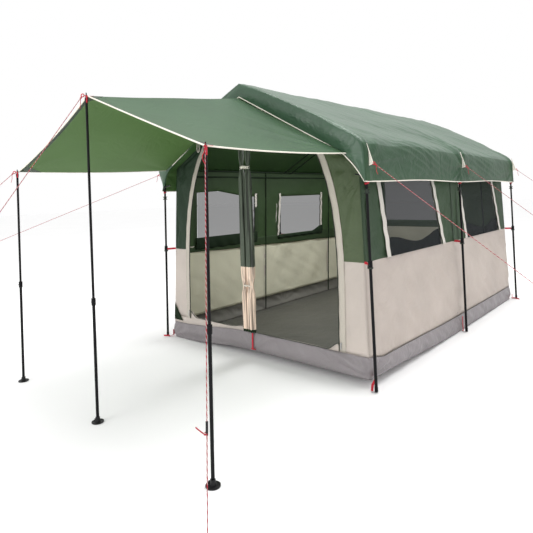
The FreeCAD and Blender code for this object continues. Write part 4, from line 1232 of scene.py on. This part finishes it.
# ---- Guy lines -----------------------------------------------------------------------
def spline_path(name, controls):
    """Points along the NURBS line of a cord's control points."""
    curve = bpy.data.curves.new(name + "_line", "CURVE")
    curve.dimensions = "3D"
    curve.resolution_u = 24
    spline = curve.splines.new("NURBS")
    spline.points.add(len(controls) - 1)
    for point, place in zip(spline.points, controls):
        point.co = (*place, 1.0)
    spline.order_u = 3
    spline.use_endpoint_u = True
    holder = bpy.data.objects.new(name + "_line", curve)
    mesh = bpy.data.meshes.new_from_object(holder)
    points = np.array([v.co for v in mesh.vertices])
    bpy.data.objects.remove(holder)
    bpy.data.curves.remove(curve)
    bpy.data.meshes.remove(mesh)
    return points


def guy_line(name, start, end):
    """Taut line of three twisted strands, two red and one pale."""
    a, b = np.array(start), np.array(end)
    ahead = unit(b - a)
    first, last = a + ahead * EYE_REACH, b - ahead * END_REACH
    lead = ahead * 12 * CORD_R
    path = spline_path(name, [first, first + lead, last - lead, last])
    length = float(np.linalg.norm(last - first))
    steps = max(24, int(length / (CORD_LAY / 7)))
    path = resample(path, steps)
    build = Build()
    for k in range(3):
        angle = 2 * math.pi * k / 3
        centre = (0.48 * CORD_R * math.cos(angle), 0.48 * CORD_R * math.sin(angle))
        section = circle(0.54 * CORD_R, 6, centre)
        build.along(path, section, 0 if k < 2 else 1, turns=length / CORD_LAY)
    obj = trim(name + "_rope", build, [RED_STRAND, PALE_STRAND], [name])
    tuple(first)


def runner_knot():
    """Knot and short free end of the line at its runner."""
    low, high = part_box("guy_runner")
    foot = np.array((high.x, low.y, low.z)) + (-0.008, 0.002, 0.004)
    build = Build()
    turn = np.linspace(0, 3 * math.pi, 30)
    coil = foot + join(0.005 * np.cos(turn), 0.005 * np.sin(turn), 0.0012 * turn - 0.004)
    build.along(coil, circle(0.0024, 6))
    t = np.linspace(0, 1, 16)[:, None]
    tail = foot + t * (-0.024, -0.021, 0.020) + t**2 * (-0.002, -0.002, 0.008) + (-0.004, 0.0, 0.0)
    build.along(tail, circle(0.0024, 6))
    trim("runner_knot", build, [RED_STRAND], body="runner")


# ---- CAD nodes that stay -------------------------------------------------------------
def finish_hardware():
    """Gives every CAD node that still shows its own node material."""
    plastic = ("leg_button", "porch_button", "porch_foot", "eave_elbows", "ridge_hubs", "wall_clips",
               "guy_runner")
    steel = ("foot_pins", "guy_ends", "zip_pull")
    for name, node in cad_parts.items():
        material = POLE_BLACK
        if name.startswith(plastic):
            material = PLASTIC_BLACK
        if name.startswith(steel):
            material = PIN_STEEL
        for place in range(max(1, len(node.data.materials))):
            if node.data.materials:
                node.data.materials[place] = material
            else:
                node.data.materials.append(material)


# ---- Studio --------------------------------------------------------------------------
def add_light(name, place, target, size, power, length=None):
    data = bpy.data.lights.new(name, "AREA")
    data.shape = "RECTANGLE" if length else "DISK"
    data.size = size
    if length:
        data.size_y = length
    data.energy = power
    lamp = bpy.data.objects.new(name, data)
    bpy.context.scene.collection.objects.link(lamp)
    aim = Vector(target) - Vector(place)
    lamp.matrix_world = Matrix.Translation(place) @ aim.to_track_quat("-Z", "Y").to_matrix().to_4x4()
    lamp.visible_camera = False


def studio():
    """Pale floor under soft even light, brightest from above."""
    mesh = bpy.data.meshes.new("studio_floor")
    size = 60.0
    corners = [(x * size, y * size, -0.002) for x, y in ((-1, -1), (1, -1), (1, 1), (-1, 1))]
    mesh.from_pydata(corners, [], [(0, 1, 2, 3)])
    floor = bpy.data.objects.new("studio_floor", mesh)
    bpy.context.scene.collection.objects.link(floor)
    shader = Shader("studio_floor")
    tone = shader.ramp(shader.noise(0.5), (1.0, 1.0, 1.0), 0.97, 0.99)
    shader.feed(shader.principled, {"Base Color": tone, "Roughness": 0.9})
    mesh.materials.append(shader.material)
    world = bpy.data.worlds.new("studio")
    bpy.context.scene.world = world
    world.use_nodes = True
    background = world.node_tree.nodes["Background"]
    background.inputs["Color"].default_value = (1.0, 1.0, 1.0, 1.0)
    background.inputs["Strength"].default_value = 1.0
    add_light("top_light", (1.0, 0.5, 7.5), (0.0, 0.5, 1.0), 6.0, 440.0)
    add_light("front_light", (-0.8, -8.0, 3.0), (0.0, -0.5, 0.9), 4.0, 140.0)
    add_light("inside_light", (0.0, 0.75, 2.0), (0.0, 0.75, 0.0), 0.6, 42.0, 2.6)
    bpy.context.scene.view_settings.view_transform = "Standard"


# ---- Assembly ------------------------------------------------------------------------
def main():
    add_camera()
    guy_tabs()
    guy_loops()
    for name, (start, end) in GUYS.items():
        guy_line(name, start, end)
    fly_sheet()
    visor("front_visor", FRONT_Y, -1.0)
    visor("rear_visor", REAR_Y, 1.0)
    canopy_sheet()
    corner_patches()
    piping()
    side_wall(-1, "left_wall", "wall_left")
    side_wall(1, "right_wall", "wall_right")
    window_nets()
    window_trims()
    window_curtains()
    inner_skirt()
    wall_seams()
    front_wall()
    door_trims()
    rear_wall()
    inner_roof()
    inner_seams()
    ground_floor()
    ground_band()
    door_roll("door_roll_left", -0.070, -1.1, ["door_rolls"])
    door_roll("door_roll_right", 0.0, 0.8, [])
    door_ties()
    belt_straps()
    hem_hooks()
    foot_straps()
    pole_loops()
    small_details()
    runner_knot()
    finish_hardware()
    studio()


main()
